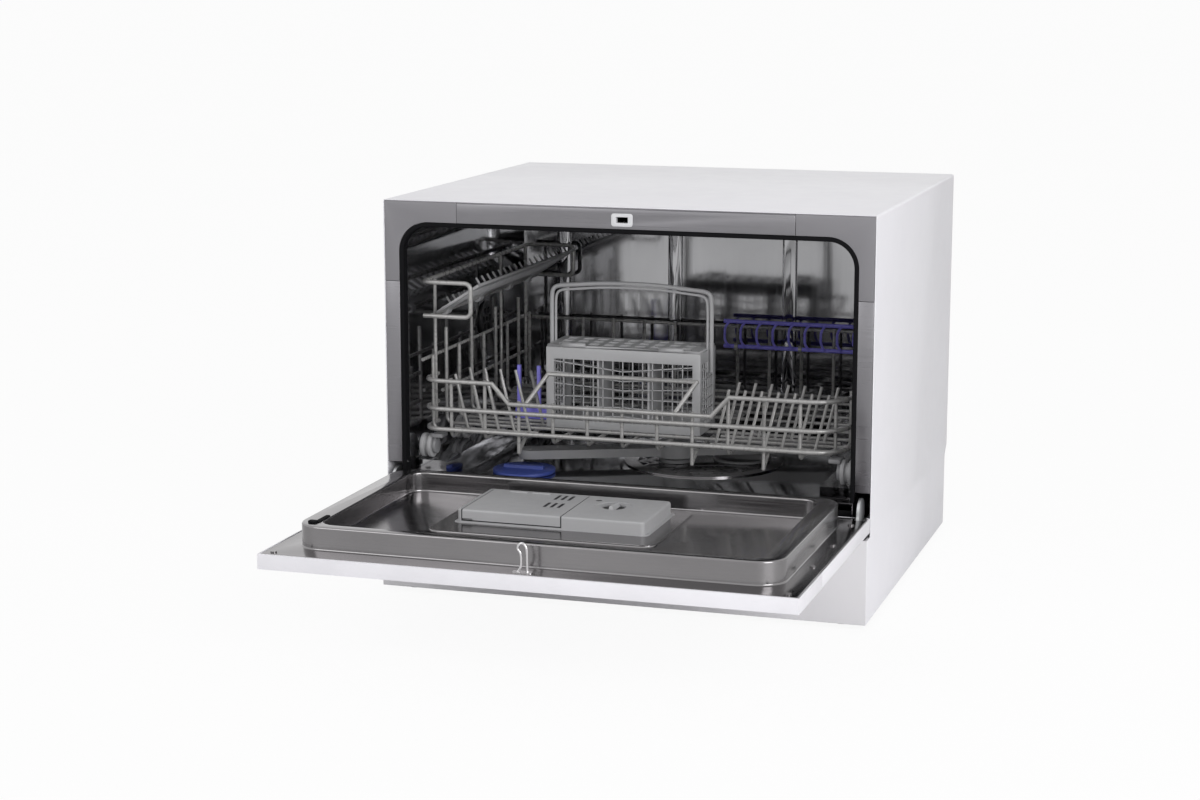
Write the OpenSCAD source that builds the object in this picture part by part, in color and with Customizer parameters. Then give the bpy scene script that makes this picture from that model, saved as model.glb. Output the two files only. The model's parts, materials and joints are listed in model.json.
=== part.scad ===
// Countertop dishwasher with its door open and the rack pushed home.
// X runs to the right, Y from the front to the back and Z up from the worktop.
// Inside the modules y = 0 is the face of the front frame; placed() moves the
// whole machine so that the middle of its footprint, open door included, is
// over the origin.

/* [Cabinet] */
// Overall width of the cabinet
cabinet_width = 550; // [540:1:600]
// Height from the worktop to the top of the cover
cabinet_height = 438; // [430:1:480]
// Depth from the face of the front frame to the rear panel
cabinet_depth = 480; // [470:1:540]
// Thickness of the painted cover and panels
sheet = 1.2; // [0.8:0.1:1.6]
// Radius of the cover's long top edges
cover_edge = 3; // [2:0.5:6]
// How far the plinth stands in front of the frame
plinth_proud = 18; // [16:1:24]
// Height of the plinth's top edge
plinth_height = 97; // [90:1:97]
// Height and depth of the step at the lower back
rear_step_height = 103; // [98:1:108]
rear_step = 12; // [8:1:16]
// Height of the rubber feet
foot_height = 5; // [4:0.5:8]
// Radius of a rubber foot
foot_radius = 14; // [10:1:20]
// Clearance between pieces that only lie side by side
gap = 0.3; // [0.2:0.05:0.5]

/* [Tub] */
// Room between the tub's inside and the cabinet's side
tub_side_room = 21; // [20:0.5:30]
// Thickness of the stainless tub
tub_sheet = 1; // [0.6:0.1:1.2]
// Room between the tub's ceiling and the top of the cover
tub_top_room = 27; // [24:1:38]
// Room between the tub's back wall and the rear panel
tub_back_room = 76; // [60:1:84]
// Height of the side ledges that carry the rack wheels
ledge_height = 142.5; // [140:0.5:146]
// Width of a side ledge
ledge_width = 40; // [30:1:44]
// Where the side ledges start, behind the closed door's pan
ledge_start = 25; // [24:1:30]
// Height of the sunk floor between the ledges
tub_floor = 116; // [112:1:118]
// Radius of the tub's upper corners
mouth_corner = 30; // [20:1:40]
// Depth and width of the pressed ribs on the back wall
rib_depth = 4; // [2:0.5:6]
rib_width = 18; // [12:1:26]
// Spacing of the pressed ribs
rib_pitch = 145; // [120:1:160]

/* [Front frame] */
// Thickness of the front frame pieces
frame_thick = 2; // [1.5:0.1:3]
// Width of the frame's face beside the mouth
frame_inset = 3; // [2:0.5:5]
// Width and height of a corner piece
corner_width = 86; // [65:1:125]
corner_drop = 90; // [68:1:118]
// Height at which the side strips end
strip_end = 144; // [142:1:160]
// Height of the latch above the tub's ceiling
latch_rise = 13; // [11.5:0.5:14]
// Reach of the gasket's lip inside the mouth
gasket_lip = 2; // [1:0.25:3]

/* [Door] */
// Height of the hinge axis
hinge_height = 110; // [108:0.5:112]
// Distance of the hinge axis in front of the frame
hinge_front = 11; // [10:0.5:12]
// Height of the door's skin when it lies open
door_under = 103; // [102:0.5:104]
// Thickness of the door's edge
door_thick = 15.5; // [14:0.5:16]
// How far the closed door's edge stays below the top of the cover
door_top_gap = 3; // [2:0.5:14]
// Distance of the door's hinge end in front of the frame
door_heel = 4.5; // [4.5:0.5:6]
// Length of the control panel at the free end
panel_length = 99; // [80:1:120]
// Thickness of the control panel's plastic wall
panel_wall = 2.5; // [2:0.1:3.5]
// Thickness of the stainless liner
liner_sheet = 0.8; // [0.5:0.1:1.2]
// Clearance between the pan's side and the tub when the door is closed
pan_side_gap = 4; // [4:0.5:12]
// Where the pan starts, in front of the frame
pan_near = 24; // [22:1:30]
// Distance from the pan's far end to the door's free end
pan_end_room = 31; // [30:1:45]
// Height of the pan's rim above the flange
rim_rise = 24; // [20:0.5:24]
// Width of the rim at the sides, where the rack wheels roll
rim_side = 22; // [18:1:26]
// Width of the rim at the two ends
rim_end = 13; // [8:1:20]
// Depth of the pan's floor below the rim
pan_depth = 21.5; // [16:0.5:21.5]
// Corner radius of the pan
pan_corner = 28; // [20:1:36]

/* [Dispenser] */
// Width of the dispenser
dispenser_width = 203; // [180:1:220]
// Length of the dispenser along the door
dispenser_length = 99; // [80:1:110]
// Height of the dispenser above the pan's floor
dispenser_rise = 16; // [12:0.5:17]
// Centre of the dispenser to the left of the middle
dispenser_offset = 26; // [0:1:40]
// Distance of the dispenser's far edge in front of the frame
dispenser_far = 165; // [150:1:180]
// Width of the lid
lid_width = 101; // [80:1:110]
// How far the lid's front skirt reaches below its plate
lid_skirt = 8; // [3:0.5:9]
// Radius of the rinse-aid knob
knob_radius = 17; // [12:0.5:20]

/* [Rack] */
// Radius of the rack's rails
rail_radius = 2.5; // [2:0.1:3]
// Radius of the floor wires and posts
wire_radius = 2; // [1.5:0.1:2.3]
// Radius of a tine
tine_radius = 1.75; // [1.4:0.05:2]
// Distance of the front rails' middle line behind the frame
rack_front = 28; // [27:0.5:32]
// Room between the rear rail's middle line and the tub's back wall
rack_back_room = 13; // [13:1:24]
// Room between the side rails' middle lines and the tub, left and right
rack_left_room = 12; // [11:1:20]
rack_right_room = 16; // [11:1:22]
// Heights of the front rails
rail_top = 233; // [222:1:240]
rail_middle = 201; // [196:1:206]
rail_bottom = 178; // [177:0.5:182]
// Depth of the dip in the top rail that clears the dispenser
rail_dip = 22; // [14:1:26]
// Height of the rear rail
rail_rear = 252; // [244:1:258]
// Height of the left side's rail
rail_left = 256; // [248:1:262]
// Height of the lengthwise floor wires
floor_height = 169; // [168:0.5:171]
// Spacing of the lengthwise and the crosswise floor wires
long_pitch = 40; // [38:0.5:40]
cross_pitch = 41; // [38:1:41]
// Height of a tine above the floor
tine_length = 66; // [50:1:72]
// Spacing of the tines
tine_pitch = 18.6; // [16:0.2:20]
// Sideways lean of a tine
tine_lean = 15; // [8:1:18]
// Radius and width of a rack wheel
wheel_radius = 13.5; // [13:0.5:14.5]
wheel_width = 13; // [10:0.5:13]
// Where the first wheel axle stands behind the front rails
axle_start = 13; // [12:1:18]
// Spacing of the first two axles
axle_step = 110; // [90:1:130]
// Where the last axle stands before the rear rail
axle_end = 46; // [22:1:70]

/* [Cup shelf and combs] */
// Height of the wire that carries the shelf's lower edge
shelf_low = 306; // [300:1:312]
// Height and width of the upper left frame
frame_rise = 38; // [32:1:44]
frame_reach = 58; // [50:1:64]
// Width of the shelf across its slope
shelf_width = 64; // [56:1:66]
// Thickness of the shelf
shelf_thick = 3; // [2:0.25:4]
// Tilt of the shelf in degrees
shelf_tilt = 33; // [28:1:36]
// Spacing of the shelf's spikes
spike_pitch = 18; // [17:0.5:18]
// Height of the comb support's lower and upper rods
comb_low = 229; // [226:0.5:232]
comb_rise = 31; // [24:1:36]
// Length of the comb support
comb_length = 212; // [180:1:216]
// Spacing of the comb's hoops
comb_pitch = 20; // [20:0.5:20.5]

/* [Cutlery basket] */
// Width, depth and height of the basket
basket_width = 180; // [150:1:184]
basket_depth = 65; // [50:1:74]
basket_height = 92; // [80:1:98]
// Distance of the basket's front behind the frame
basket_front = 90; // [84:1:100]
// Middle of the basket to the left of the rack's middle
basket_offset = 27; // [20:1:34]
// Clearance between the basket and what stands beside it on its left
basket_room = 5; // [2:0.5:8]
// Thickness of the basket's walls
basket_wall = 2.4; // [1.8:0.1:3]
// Height of the handle's bow above the basket
handle_rise = 70; // [60:1:76]
// Radius of the handle's bar
handle_radius = 3; // [2.5:0.25:4]

/* [Water and drive] */
// Distance of the spray arm's axis behind the frame
arm_back = 214; // [208:1:220]
// Reach of the spray arm from its axis
arm_reach = 184; // [150:1:184]
// Radius of the well in the tub's floor
well_radius = 88; // [80:1:92]
// Radius of the filter cup
filter_radius = 32; // [26:1:36]
// Radius of the salt cap
salt_radius = 36; // [30:1:40]
// Outer radius of the water inlet's thread
inlet_radius = 13.2; // [10:0.1:13.2]
// Outer radius of the drain spigot
drain_radius = 10.5; // [8:0.5:12]

/* [Hidden] */
$fn = 48;
wire_fn = 20;
knuckle = 0.15;
hinge_ear = 5.2;
hinge_pin = 2.5;
tray_rim = 62;
half = cabinet_width / 2;
tub_half = half - tub_side_room;
tub_top = cabinet_height - tub_top_room;
tub_depth = cabinet_depth - tub_back_room;
top_strip_half = half - corner_width;
corner_end = cabinet_height - corner_drop;
latch_height = tub_top + latch_rise;
door_reach = cabinet_height - door_top_gap - hinge_height + hinge_front;
pan_half = tub_half - pan_side_gap;
pan_far = door_reach - pan_end_room;
rack_back = tub_depth - rack_back_room;
rack_left = tub_half - rack_left_room;
rack_right = tub_half - rack_right_room;
axle_front = rack_front + axle_start;
axle_middle = axle_front + axle_step;
axle_rear = rack_back - axle_end;
arm_near = tub_half + 8;
arm_far = arm_near + 3;
bracket_near = arm_far + 2;
bracket_far = bracket_near + 3;
inner_half = half - sheet;
inner_top = cabinet_height - sheet;
centre_shift = (door_reach - cabinet_depth) / 2;
flange_top = door_under + door_thick;
flange_under = flange_top - liner_sheet;
rim_top = flange_top + rim_rise;
pan_floor = rim_top - pan_depth;
skin_half = half - sheet;
panel_near = door_reach - panel_length;
mouth_half = tub_half + frame_inset;
flange_back = frame_thick + 0.2;
dispenser_top = pan_floor + dispenser_rise;
dispenser_left = -dispenser_offset - dispenser_width / 2;
dispenser_near = dispenser_far - dispenser_length;
lid_left = dispenser_left + 12;
lid_floor = dispenser_top - 3;
knob_x = dispenser_left + dispenser_width * 0.75;
knob_y = -(dispenser_near + dispenser_length * 0.42);
post_front = rack_front + rail_radius + wire_radius + 0.1;
post_back = rack_back - rail_radius - wire_radius - 0.1;
post_left = rack_left - rail_radius - wire_radius - 0.1;
post_right = rack_right - rail_radius - wire_radius - 0.1;
cross_height = floor_height + 2 * wire_radius + 0.1;
axle_height = ledge_height + gap + wheel_radius;
wheel_centre = tub_half - 13;
basket_left = -basket_offset - basket_width / 2;
basket_right = basket_left + basket_width;
dip_left = basket_left - 43;
dip_right = basket_right + 49;
tines_near = rack_front + 36;
tines_left = 40 - rack_left;
tines_right = rack_right - 38.4;
left_tines = floor((basket_left - basket_room - tines_left) / tine_pitch);
right_tines = floor((tines_right - basket_right - 20) / tine_pitch);
cross_wires = floor((post_back - rack_front - 26) / cross_pitch);
basket_floor = cross_height + wire_radius + gap;
basket_top = basket_floor + basket_height;
handle_y = basket_front + basket_depth / 2;
shelf_hinge_x = 10 - rack_left;
shelf_near = rack_front + 2 * rail_radius + 4;
shelf_far = rack_back - 2 * rail_radius - 4;
shelf_slots = floor((shelf_far - shelf_near - spike_pitch) / spike_pitch);
comb_left = rack_right - comb_length - 12;
comb_posts = floor((comb_length - 12) / comb_pitch);
comb_y = rack_back - 11;
button_y = -(door_reach - 40);
button_radius = 9;
button_x = half - 50;
window_x = 95;
board_under = door_under + 8.2;
sump_y = arm_back + 16;
sump_x = 30;
filter_x = 72;
filter_y = arm_back + 34;
salt_x = -152;
salt_y = 112;
inlet_collar = inlet_radius + 5.8;
drain_collar = drain_radius + 1.5;
inlet_x = -170;
inlet_z = 62;
drain_x = -112;
drain_z = 62;
gland_x = half - 70;
gland_z = 56;
tray_under = foot_height;
tray_floor = tray_under + 3;
tray_near = plinth_proud - 3;
tray_back = cabinet_depth - rear_step - sheet - gap;
latch_slot = 16;
grille_y = 260;
grille_z = 268;
grille_bore = 18;

function unit(v) = v / norm(v);
function turn(a, b, c) = acos(min(1, max(-1, unit(b - a) * unit(c - b))));
function setback(p, i, bends) = bends[i - 1] * tan(turn(p[i - 1], p[i], p[i + 1]) / 2);

module placed() {
    translate([0, centre_shift, 0]) children();
}

// A block between two corners
module block(low, high) {
    translate(low) cube(high - low);
}

// A flat rounded rectangle, in the XY plane, between two corners
module rounded(low, high, radius) {
    union() {
        translate([low[0] + radius, low[1]]) square([high[0] - low[0] - 2 * radius, high[1] - low[1]]);
        translate([low[0], low[1] + radius]) square([high[0] - low[0], high[1] - low[1] - 2 * radius]);
        for (x = [low[0] + radius, high[0] - radius])
            for (y = [low[1] + radius, high[1] - radius])
                translate([x, y]) circle(radius);
    }
}

// An outline drawn in X and Z, given depth along Y
module upright(y, depth) {
    translate([0, y + depth, 0]) rotate([90, 0, 0]) linear_extrude(depth) children();
}

// An outline drawn in Y and Z, given width along X
module sideways(x, width) {
    translate([x, 0, 0]) rotate([90, 0, 90]) linear_extrude(width) children();
}

// A round bar along Y
module along_y(x, y, z, length, radius) {
    translate([x, y, z]) rotate([-90, 0, 0]) cylinder(h = length, r = radius);
}

// A round bar along X
module along_x(x, y, z, length, radius) {
    translate([x, y, z]) rotate([0, 90, 0]) cylinder(h = length, r = radius);
}

// A straight round wire between two points
module rod(a, b, radius) {
    run = b - a;
    translate(a)
        rotate([0, acos(run[2] / norm(run)), atan2(run[1], run[0])])
            cylinder(h = norm(run), r = radius, $fn = wire_fn);
}

// The round bend of a wire at the middle one of three points
module elbow(a, b, c, radius, bend) {
    into = unit(b - a);
    out = unit(c - b);
    angle = turn(a, b, c);
    inward = unit(out - (out * into) * into);
    start = b - into * bend * tan(angle / 2);
    flat = abs(inward[2]) > 0.9999;
    pitch = asin(max(-1, min(1, inward[2])));
    roll = flat ? 0 : atan2(into[2], cross(-inward, into)[2]);
    yaw = flat ? atan2(-into[0], into[1]) : atan2(-inward[1], -inward[0]);
    translate(start + inward * bend)
        rotate([roll, pitch, yaw])
            rotate_extrude(angle = angle, $fn = 60)
                translate([bend, 0]) circle(radius, $fn = wire_fn);
}

// A bent round wire through a list of points, with one bend radius for each inner point.
// A bend radius of zero makes a welded knuckle, for a bend that isn't square to the axes.
module wire(points, radius, bends) {
    last = len(points) - 1;
    for (i = [0 : last - 1]) {
        along = unit(points[i + 1] - points[i]);
        from = i == 0 ? 0 : setback(points, i, bends);
        to = i == last - 1 ? 0 : setback(points, i + 1, bends);
        rod(points[i] + along * from, points[i + 1] - along * to, radius);
    }
    for (i = [1 : 1 : last - 1])
        if (bends[i - 1] > 0)
            elbow(points[i - 1], points[i], points[i + 1], radius, bends[i - 1]);
        else
            translate(points[i]) sphere(radius + knuckle, $fn = wire_fn);
}

module outer_cover() {
    color("whitesmoke") intersection() {
        upright(-plinth_proud + 2, cabinet_depth + plinth_proud - 2) difference() {
            rounded([-half, -20], [half, cabinet_height], cover_edge);
            translate([-inner_half, -30]) square([2 * inner_half, inner_top + 30]);
        }
        sideways(-half - 1, cabinet_width + 2) polygon([
            [-plinth_proud + 2, foot_height], [-plinth_proud + 2, plinth_height], [0, plinth_height],
            [0, cabinet_height + 1], [cabinet_depth, cabinet_height + 1], [cabinet_depth, rear_step_height],
            [cabinet_depth - rear_step, rear_step_height - rear_step],
            [cabinet_depth - rear_step, foot_height]]);
    }
}

module rear_panel() {
    reach = inner_half - gap;
    low_back = cabinet_depth - rear_step;
    color("lightgray") difference() {
        union() {
            block([-reach, cabinet_depth - sheet, rear_step_height], [reach, cabinet_depth, inner_top - gap]);
            block([-reach, low_back - sheet, rear_step_height],
                [reach, cabinet_depth, rear_step_height + sheet]);
            block([-reach, low_back - sheet, foot_height + 1], [reach, low_back, rear_step_height + sheet]);
        }
        along_y(inlet_x, low_back - 5, inlet_z, 10, inlet_collar + gap);
        along_y(drain_x, low_back - 5, drain_z, 10, drain_collar + gap);
        along_y(gland_x, low_back - 5, gland_z, 10, 11 + gap);
        for (i = [0 : 11])
            block([-150 + i * 26, cabinet_depth - 5, 330], [-138 + i * 26, cabinet_depth + 5, 360]);
    }
}

module base_tray() {
    reach = inner_half - gap;
    color("dimgray") difference() {
        block([-reach, -tray_near, tray_under], [reach, tray_back, tray_rim]);
        block([-reach + 2.5, -tray_near + 2.5, tray_floor], [reach - 2.5, tray_back - 2.5, tray_rim + 8]);
        for (x = [-1, 1])
            for (y = [12, cabinet_depth - 40])
                translate([x * (half - 30), y, 0]) cylinder(h = 20, r = 4 + gap);
        along_y(inlet_x, tray_back - 5, inlet_z, 10, inlet_collar + 1);
        along_y(drain_x, tray_back - 5, drain_z, 10, drain_collar + 1);
        along_y(gland_x, tray_back - 5, gland_z, 10, 13);
    }
}

module kick_panel() {
    color("gainsboro") difference() {
        union() {
            block([-half, -plinth_proud, foot_height], [half, -plinth_proud + 2 - gap, plinth_height]);
            block([-inner_half + gap, -plinth_proud, plinth_height - 2],
                [inner_half - gap, -1, plinth_height]);
        }
        for (side = [-1, 1])
            mirror([side > 0 ? 0 : 1, 0, 0])
                block([arm_near - 2, -plinth_proud + 2.5, plinth_height - 10],
                    [bracket_far + 1.5, 5, plinth_height + 5]);
    }
}

module rubber_feet() {
    color("black")
        for (x = [-1, 1])
            for (y = [12, cabinet_depth - 40])
                translate([x * (half - 30), y, 0]) union() {
                    cylinder(h = foot_height - 0.2, r = foot_radius);
                    cylinder(h = tray_floor + 2, r = 4);
                }
}

// The flat outline of the mouth, grown outwards by a margin
module mouth(margin, bottom) {
    rounded([-tub_half - margin, bottom], [tub_half + margin, tub_top + margin], mouth_corner + margin);
}

// One corner piece of the front frame, on the side given by its sign
module frame_corner(side) {
    color("darkgray") intersection() {
        upright(0, frame_thick) difference() {
            translate([-inner_half + gap, corner_end])
                square([2 * (inner_half - gap), inner_top - gap - corner_end]);
            mouth(frame_inset, 0);
        }
        block([side > 0 ? top_strip_half : -half, -1, 0],
            [side > 0 ? half : -top_strip_half, 10, cabinet_height]);
    }
}

module frame_corners() {
    frame_corner(-1);
    frame_corner(1);
}

module frame_top_strip() {
    reach = top_strip_half - gap;
    color("silver") difference() {
        union() {
            block([-reach, -0.4, tub_top + frame_inset], [reach, frame_thick, inner_top - gap - 1]);
            block([-reach, frame_thick - 1, tub_top + frame_inset], [reach, frame_thick, inner_top - gap]);
        }
        block([-latch_slot / 2, -5, latch_height - 4.5], [latch_slot / 2, 10, latch_height + 4.5]);
    }
}

module frame_side_strips() {
    color("silver")
        for (side = [-1, 1])
            block([side > 0 ? mouth_half : -inner_half + gap, 0.2, strip_end],
                [side > 0 ? inner_half - gap : -mouth_half, frame_thick, corner_end - gap]);
}

// The tub's sides and ceiling, folded from one sheet, with its flange round the mouth
module tub_wrapper() {
    slot = latch_slot / 2;
    color("lightsteelblue") difference() {
        union() {
            upright(flange_back, tub_depth - flange_back) difference() {
                mouth(tub_sheet, 0);
                mouth(0, -10);
                translate([-half, -20]) square([cabinet_width, ledge_height + 20]);
            }
            upright(flange_back, tub_sheet) difference() {
                translate([-inner_half + gap, strip_end])
                    square([2 * (inner_half - gap), inner_top - gap - strip_end]);
                mouth(0, 0);
            }
        }
        along_x(-tub_half - 5, grille_y, grille_z, 10, grille_bore);
        block([-slot, 0, latch_height - 4.5], [slot, 10, latch_height + 4.5]);
    }
}

module tub_back() {
    color("lightsteelblue") union() {
        upright(tub_depth, tub_sheet) difference() {
            mouth(tub_sheet, 0);
            translate([-half, -20]) square([cabinet_width, ledge_height + 20]);
        }
        for (x = [-55 - rib_pitch, -55, -55 + rib_pitch])
            block([x - rib_width / 2, tub_depth - rib_depth, ledge_height + 20],
                [x + rib_width / 2, tub_depth + tub_sheet / 2, tub_top - 14]);
    }
}

// The room below the ledges, grown outwards by a margin for the outside of the base
module lower_space(margin, top) {
    block([-tub_half - margin, flange_back - (margin > 0 ? 0 : 1), tub_floor - margin],
        [tub_half + margin, ledge_start + margin, top]);
    block([-tub_half + ledge_width - margin, flange_back, tub_floor - margin],
        [tub_half - ledge_width + margin, tub_depth + margin, top]);
}

module tub_base() {
    color("steelblue") difference() {
        union() {
            lower_space(tub_sheet, ledge_height);
            block([-tub_half - tub_sheet, ledge_start, ledge_height - tub_sheet],
                [tub_half + tub_sheet, tub_depth + tub_sheet, ledge_height]);
        }
        lower_space(0, ledge_height + 1);
        translate([sump_x, sump_y, tub_floor - 10]) cylinder(h = 20, r = well_radius);
        translate([salt_x, salt_y, tub_floor - 10]) cylinder(h = 20, r = salt_radius - 4);
    }
}

module door_gasket() {
    foot = 132;
    color("black") difference() {
        union() {
            upright(0.2, frame_thick - 0.2) mouth(frame_inset - gap, 60);
            upright(0.2, 12) mouth(-gap, 60);
        }
        upright(-1, 20) mouth(-gasket_lip, 0);
        block([-300, -5, 0], [300, 30, foot]);
    }
}

module sill_seal() {
    color("black")
        sideways(-tub_half + 1, 2 * tub_half - 2)
            rounded([6, tub_floor + 0.1], [13, tub_floor + 5.5], 2);
}

module latch_socket() {
    color("whitesmoke") difference() {
        union() {
            upright(-1.4, 1) rounded([-12, latch_height - 7], [12, latch_height + 7], 3);
            block([-latch_slot / 2 + gap, -1, latch_height - 4.2],
                [latch_slot / 2 - gap, 5, latch_height + 4.2]);
        }
        block([-6.6, -5, latch_height - 3.2], [6.6, 10, latch_height + 3.2]);
    }
}

module latch_switch() {
    near = flange_back + tub_sheet + 2;
    color("gray") difference() {
        block([-24, near, tub_top + tub_sheet + gap], [24, near + 34, inner_top - gap]);
        block([-7, near - 1, latch_height - 5], [7, near + 29, latch_height + 5]);
    }
}

module hinge_brackets() {
    color("silver")
        for (side = [-1, 1])
            mirror([side > 0 ? 0 : 1, 0, 0]) union() {
                block([bracket_near, 2, tray_rim + gap], [bracket_far, 60, hinge_height + hinge_ear]);
                block([bracket_near, -hinge_front, hinge_height - hinge_ear],
                    [bracket_far, 4, hinge_height + hinge_ear]);
                along_x(bracket_near, -hinge_front, hinge_height, bracket_far - bracket_near, hinge_ear);
                along_x(arm_near - 1.5, -hinge_front, hinge_height, 8, hinge_pin);
                block([bracket_near, 20, tray_rim + gap], [inner_half - gap, 60, tray_rim + 4]);
            }
}

module vent_grille() {
    color("black") difference() {
        union() {
            along_x(-tub_half + gap, grille_y, grille_z, 2.4, grille_bore + 3);
            along_x(-tub_half - 3, grille_y, grille_z, 4, grille_bore - 0.4);
        }
        for (i = [0 : 5])
            translate([-tub_half - 5, grille_y, grille_z]) rotate([i * 60, 0, 0])
                translate([0, 11, 0]) rotate([0, 90, 0]) cylinder(h = 10, r = 4.4);
        along_x(-tub_half - 5, grille_y, grille_z, 10, 3.4);
    }
}

module air_break() {
    low = ledge_height + 7.5;
    high = tub_top - 15;
    color("ivory") difference() {
        block([-inner_half + gap, 90, low], [-tub_half - tub_sheet - 2.4, 340, high]);
        for (y = [92, 176, 260])
            block([-inner_half, y, low + 2], [-tub_half - tub_sheet - 4.4, y + 78, high - 2]);
    }
}

module sump() {
    top = tub_floor - tub_sheet - gap;
    color("dimgray") difference() {
        union() {
            translate([sump_x, sump_y, 66]) cylinder(h = top - 66, r = well_radius + 3);
            translate([sump_x, sump_y, top - 3]) cylinder(h = 3, r = well_radius + 9);
            along_x(sump_x + well_radius - 6, sump_y, 84, 36, 14);
        }
        translate([sump_x, sump_y, 69]) cylinder(h = 60, r = well_radius);
        along_x(sump_x + well_radius - 12, sump_y, 84, 60, 11);
    }
}

module filter_plate() {
    color("silver") difference() {
        translate([sump_x, sump_y, tub_floor + 0.1]) cylinder(h = 1.5, r = well_radius + 5);
        translate([0, arm_back, tub_floor - 5]) cylinder(h = 20, r = 17);
        translate([filter_x, filter_y, tub_floor - 5]) cylinder(h = 20, r = filter_radius - 2);
        for (ring = [0 : 3])
            for (i = [0 : 17])
                rotate_about(sump_x, sump_y, i * 20 + ring * 7)
                    translate([sump_x + 44 + ring * 11, sump_y, tub_floor - 1]) cylinder(h = 5, r = 1.6);
    }
}

// Turns its children about a vertical line
module rotate_about(x, y, angle) {
    translate([x, y, 0]) rotate([0, 0, angle]) translate([-x, -y, 0]) children();
}

module filter_cup() {
    rise = tub_floor + 1.6 + gap;
    color("slategray") difference() {
        union() {
            translate([filter_x, filter_y, 72]) cylinder(h = rise + 1 - 72, r = filter_radius - 2 - gap);
            translate([filter_x, filter_y, rise]) cylinder(h = 2, r = filter_radius + 2);
            block([filter_x - 26, filter_y - 2.5, rise], [filter_x + 26, filter_y + 2.5, rise + 6.6]);
        }
        difference() {
            translate([filter_x, filter_y, 75]) cylinder(h = 60, r = filter_radius - 5);
            block([filter_x - 40, filter_y - 2.5, rise], [filter_x + 40, filter_y + 2.5, rise + 10]);
        }
    }
}

module spray_arm_hub() {
    color("gray") union() {
        translate([0, arm_back, 69.3]) cylinder(h = tub_floor + 12 - 69.3, r = 10);
        translate([0, arm_back, tub_floor + 2]) cylinder(h = 4, r = 19);
    }
}

module spray_arm() {
    low = tub_floor + 8.5;
    color("gainsboro") difference() {
        union() {
            translate([0, arm_back, low]) cylinder(h = 16, r = 24);
            for (side = [0, 180])
                rotate_about(0, arm_back, side + 24) translate([0, arm_back, low + 2]) union() {
                    translate([0, -15, 0]) cube([arm_reach - 15, 30, 10]);
                    translate([arm_reach - 15, 0, 0]) cylinder(h = 10, r = 15);
                }
        }
        translate([0, arm_back, low - 1]) cylinder(h = 8, r = 10 + gap);
        for (side = [0, 180])
            for (i = [0 : 4])
                rotate_about(0, arm_back, side + 24)
                    translate([42 + i * 32, arm_back + (i % 2 == 0 ? 6 : -6), low + 8])
                        cylinder(h = 10, r = 2);
    }
}

module wash_pump() {
    x = sump_x + well_radius + 72;
    color("darkslategray") union() {
        along_y(x, sump_y - 20, 54, 40, 40);
        along_y(x, sump_y + 20, 54, 90, 32);
        block([x - 22, sump_y - 12, tray_floor + gap], [x + 22, sump_y + 100, 26]);
        along_x(sump_x + well_radius + 18, sump_y, 84, 43, 10.5);
    }
}

module drain_pump() {
    color("darkslategray") union() {
        along_y(-90, 350, 40, 60, 26);
        along_y(-90, 330, 40, 20, 20);
        block([-104, 355, tray_floor + gap], [-76, 400, 20]);
    }
}

module inlet_valve() {
    low_back = cabinet_depth - rear_step;
    color("white") union() {
        along_y(inlet_x, low_back - 30, inlet_z, 30 + rear_step - 2, inlet_radius);
        along_y(inlet_x, low_back - 34, inlet_z, 34, inlet_collar);
        block([inlet_x - 20, low_back - 90, inlet_z - 20], [inlet_x + 20, low_back - 32, inlet_z + 18]);
        block([inlet_x - 12, low_back - 80, tray_floor + gap], [inlet_x + 12, low_back - 50, inlet_z - 18]);
    }
}

module drain_spigot() {
    low_back = cabinet_depth - rear_step;
    color("dimgray") difference() {
        union() {
            along_y(drain_x, low_back - 1, drain_z, rear_step - 1, drain_radius);
            along_y(drain_x, low_back - 24, drain_z, 24, drain_collar);
        }
        along_y(drain_x, low_back - 30, drain_z, 60, drain_radius - 2.5);
    }
}

module mains_gland() {
    low_back = cabinet_depth - rear_step;
    color("black") difference() {
        union() {
            along_y(gland_x, low_back - 14, gland_z, 22, 11);
            along_y(gland_x, low_back + 0.1, gland_z, 4, 14);
        }
        along_y(gland_x, low_back - 20, gland_z, 40, 4);
    }
}

module softener_tank() {
    top = tub_floor - tub_sheet - gap;
    color("ivory") difference() {
        union() {
            block([salt_x - 60, salt_y - 62, tray_floor + gap], [salt_x + 60, salt_y + 70, 96]);
            translate([salt_x, salt_y, 90]) cylinder(h = top - 90, r = salt_radius);
        }
        translate([salt_x, salt_y, 30]) cylinder(h = 100, r = salt_radius - 7);
    }
}

module salt_cap() {
    low = tub_floor + gap;
    color("royalblue") union() {
        translate([salt_x, salt_y, low]) cylinder(h = 4, r = salt_radius);
        translate([salt_x, salt_y, low - 14]) cylinder(h = 15, r = salt_radius - 8);
        block([salt_x - 24, salt_y - 4, low + 3], [salt_x + 24, salt_y + 4, low + 8]);
    }
}

// The room that a hinge needs through the door's heel, on both sides
module hinge_slots() {
    for (side = [-1, 1])
        mirror([side > 0 ? 0 : 1, 0, 0])
            block([arm_near - 2, -hinge_front - 7, door_under + sheet],
                [bracket_far + 1.5, 5, flange_top + 5]);
}

module door_skin() {
    color("whitesmoke") difference() {
        block([-half, -panel_near + gap, door_under], [half, -door_heel, flange_top]);
        block([-skin_half, -panel_near - 1, door_under + sheet],
            [skin_half, -door_heel - sheet, flange_top + 1]);
        hinge_slots();
    }
}

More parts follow.
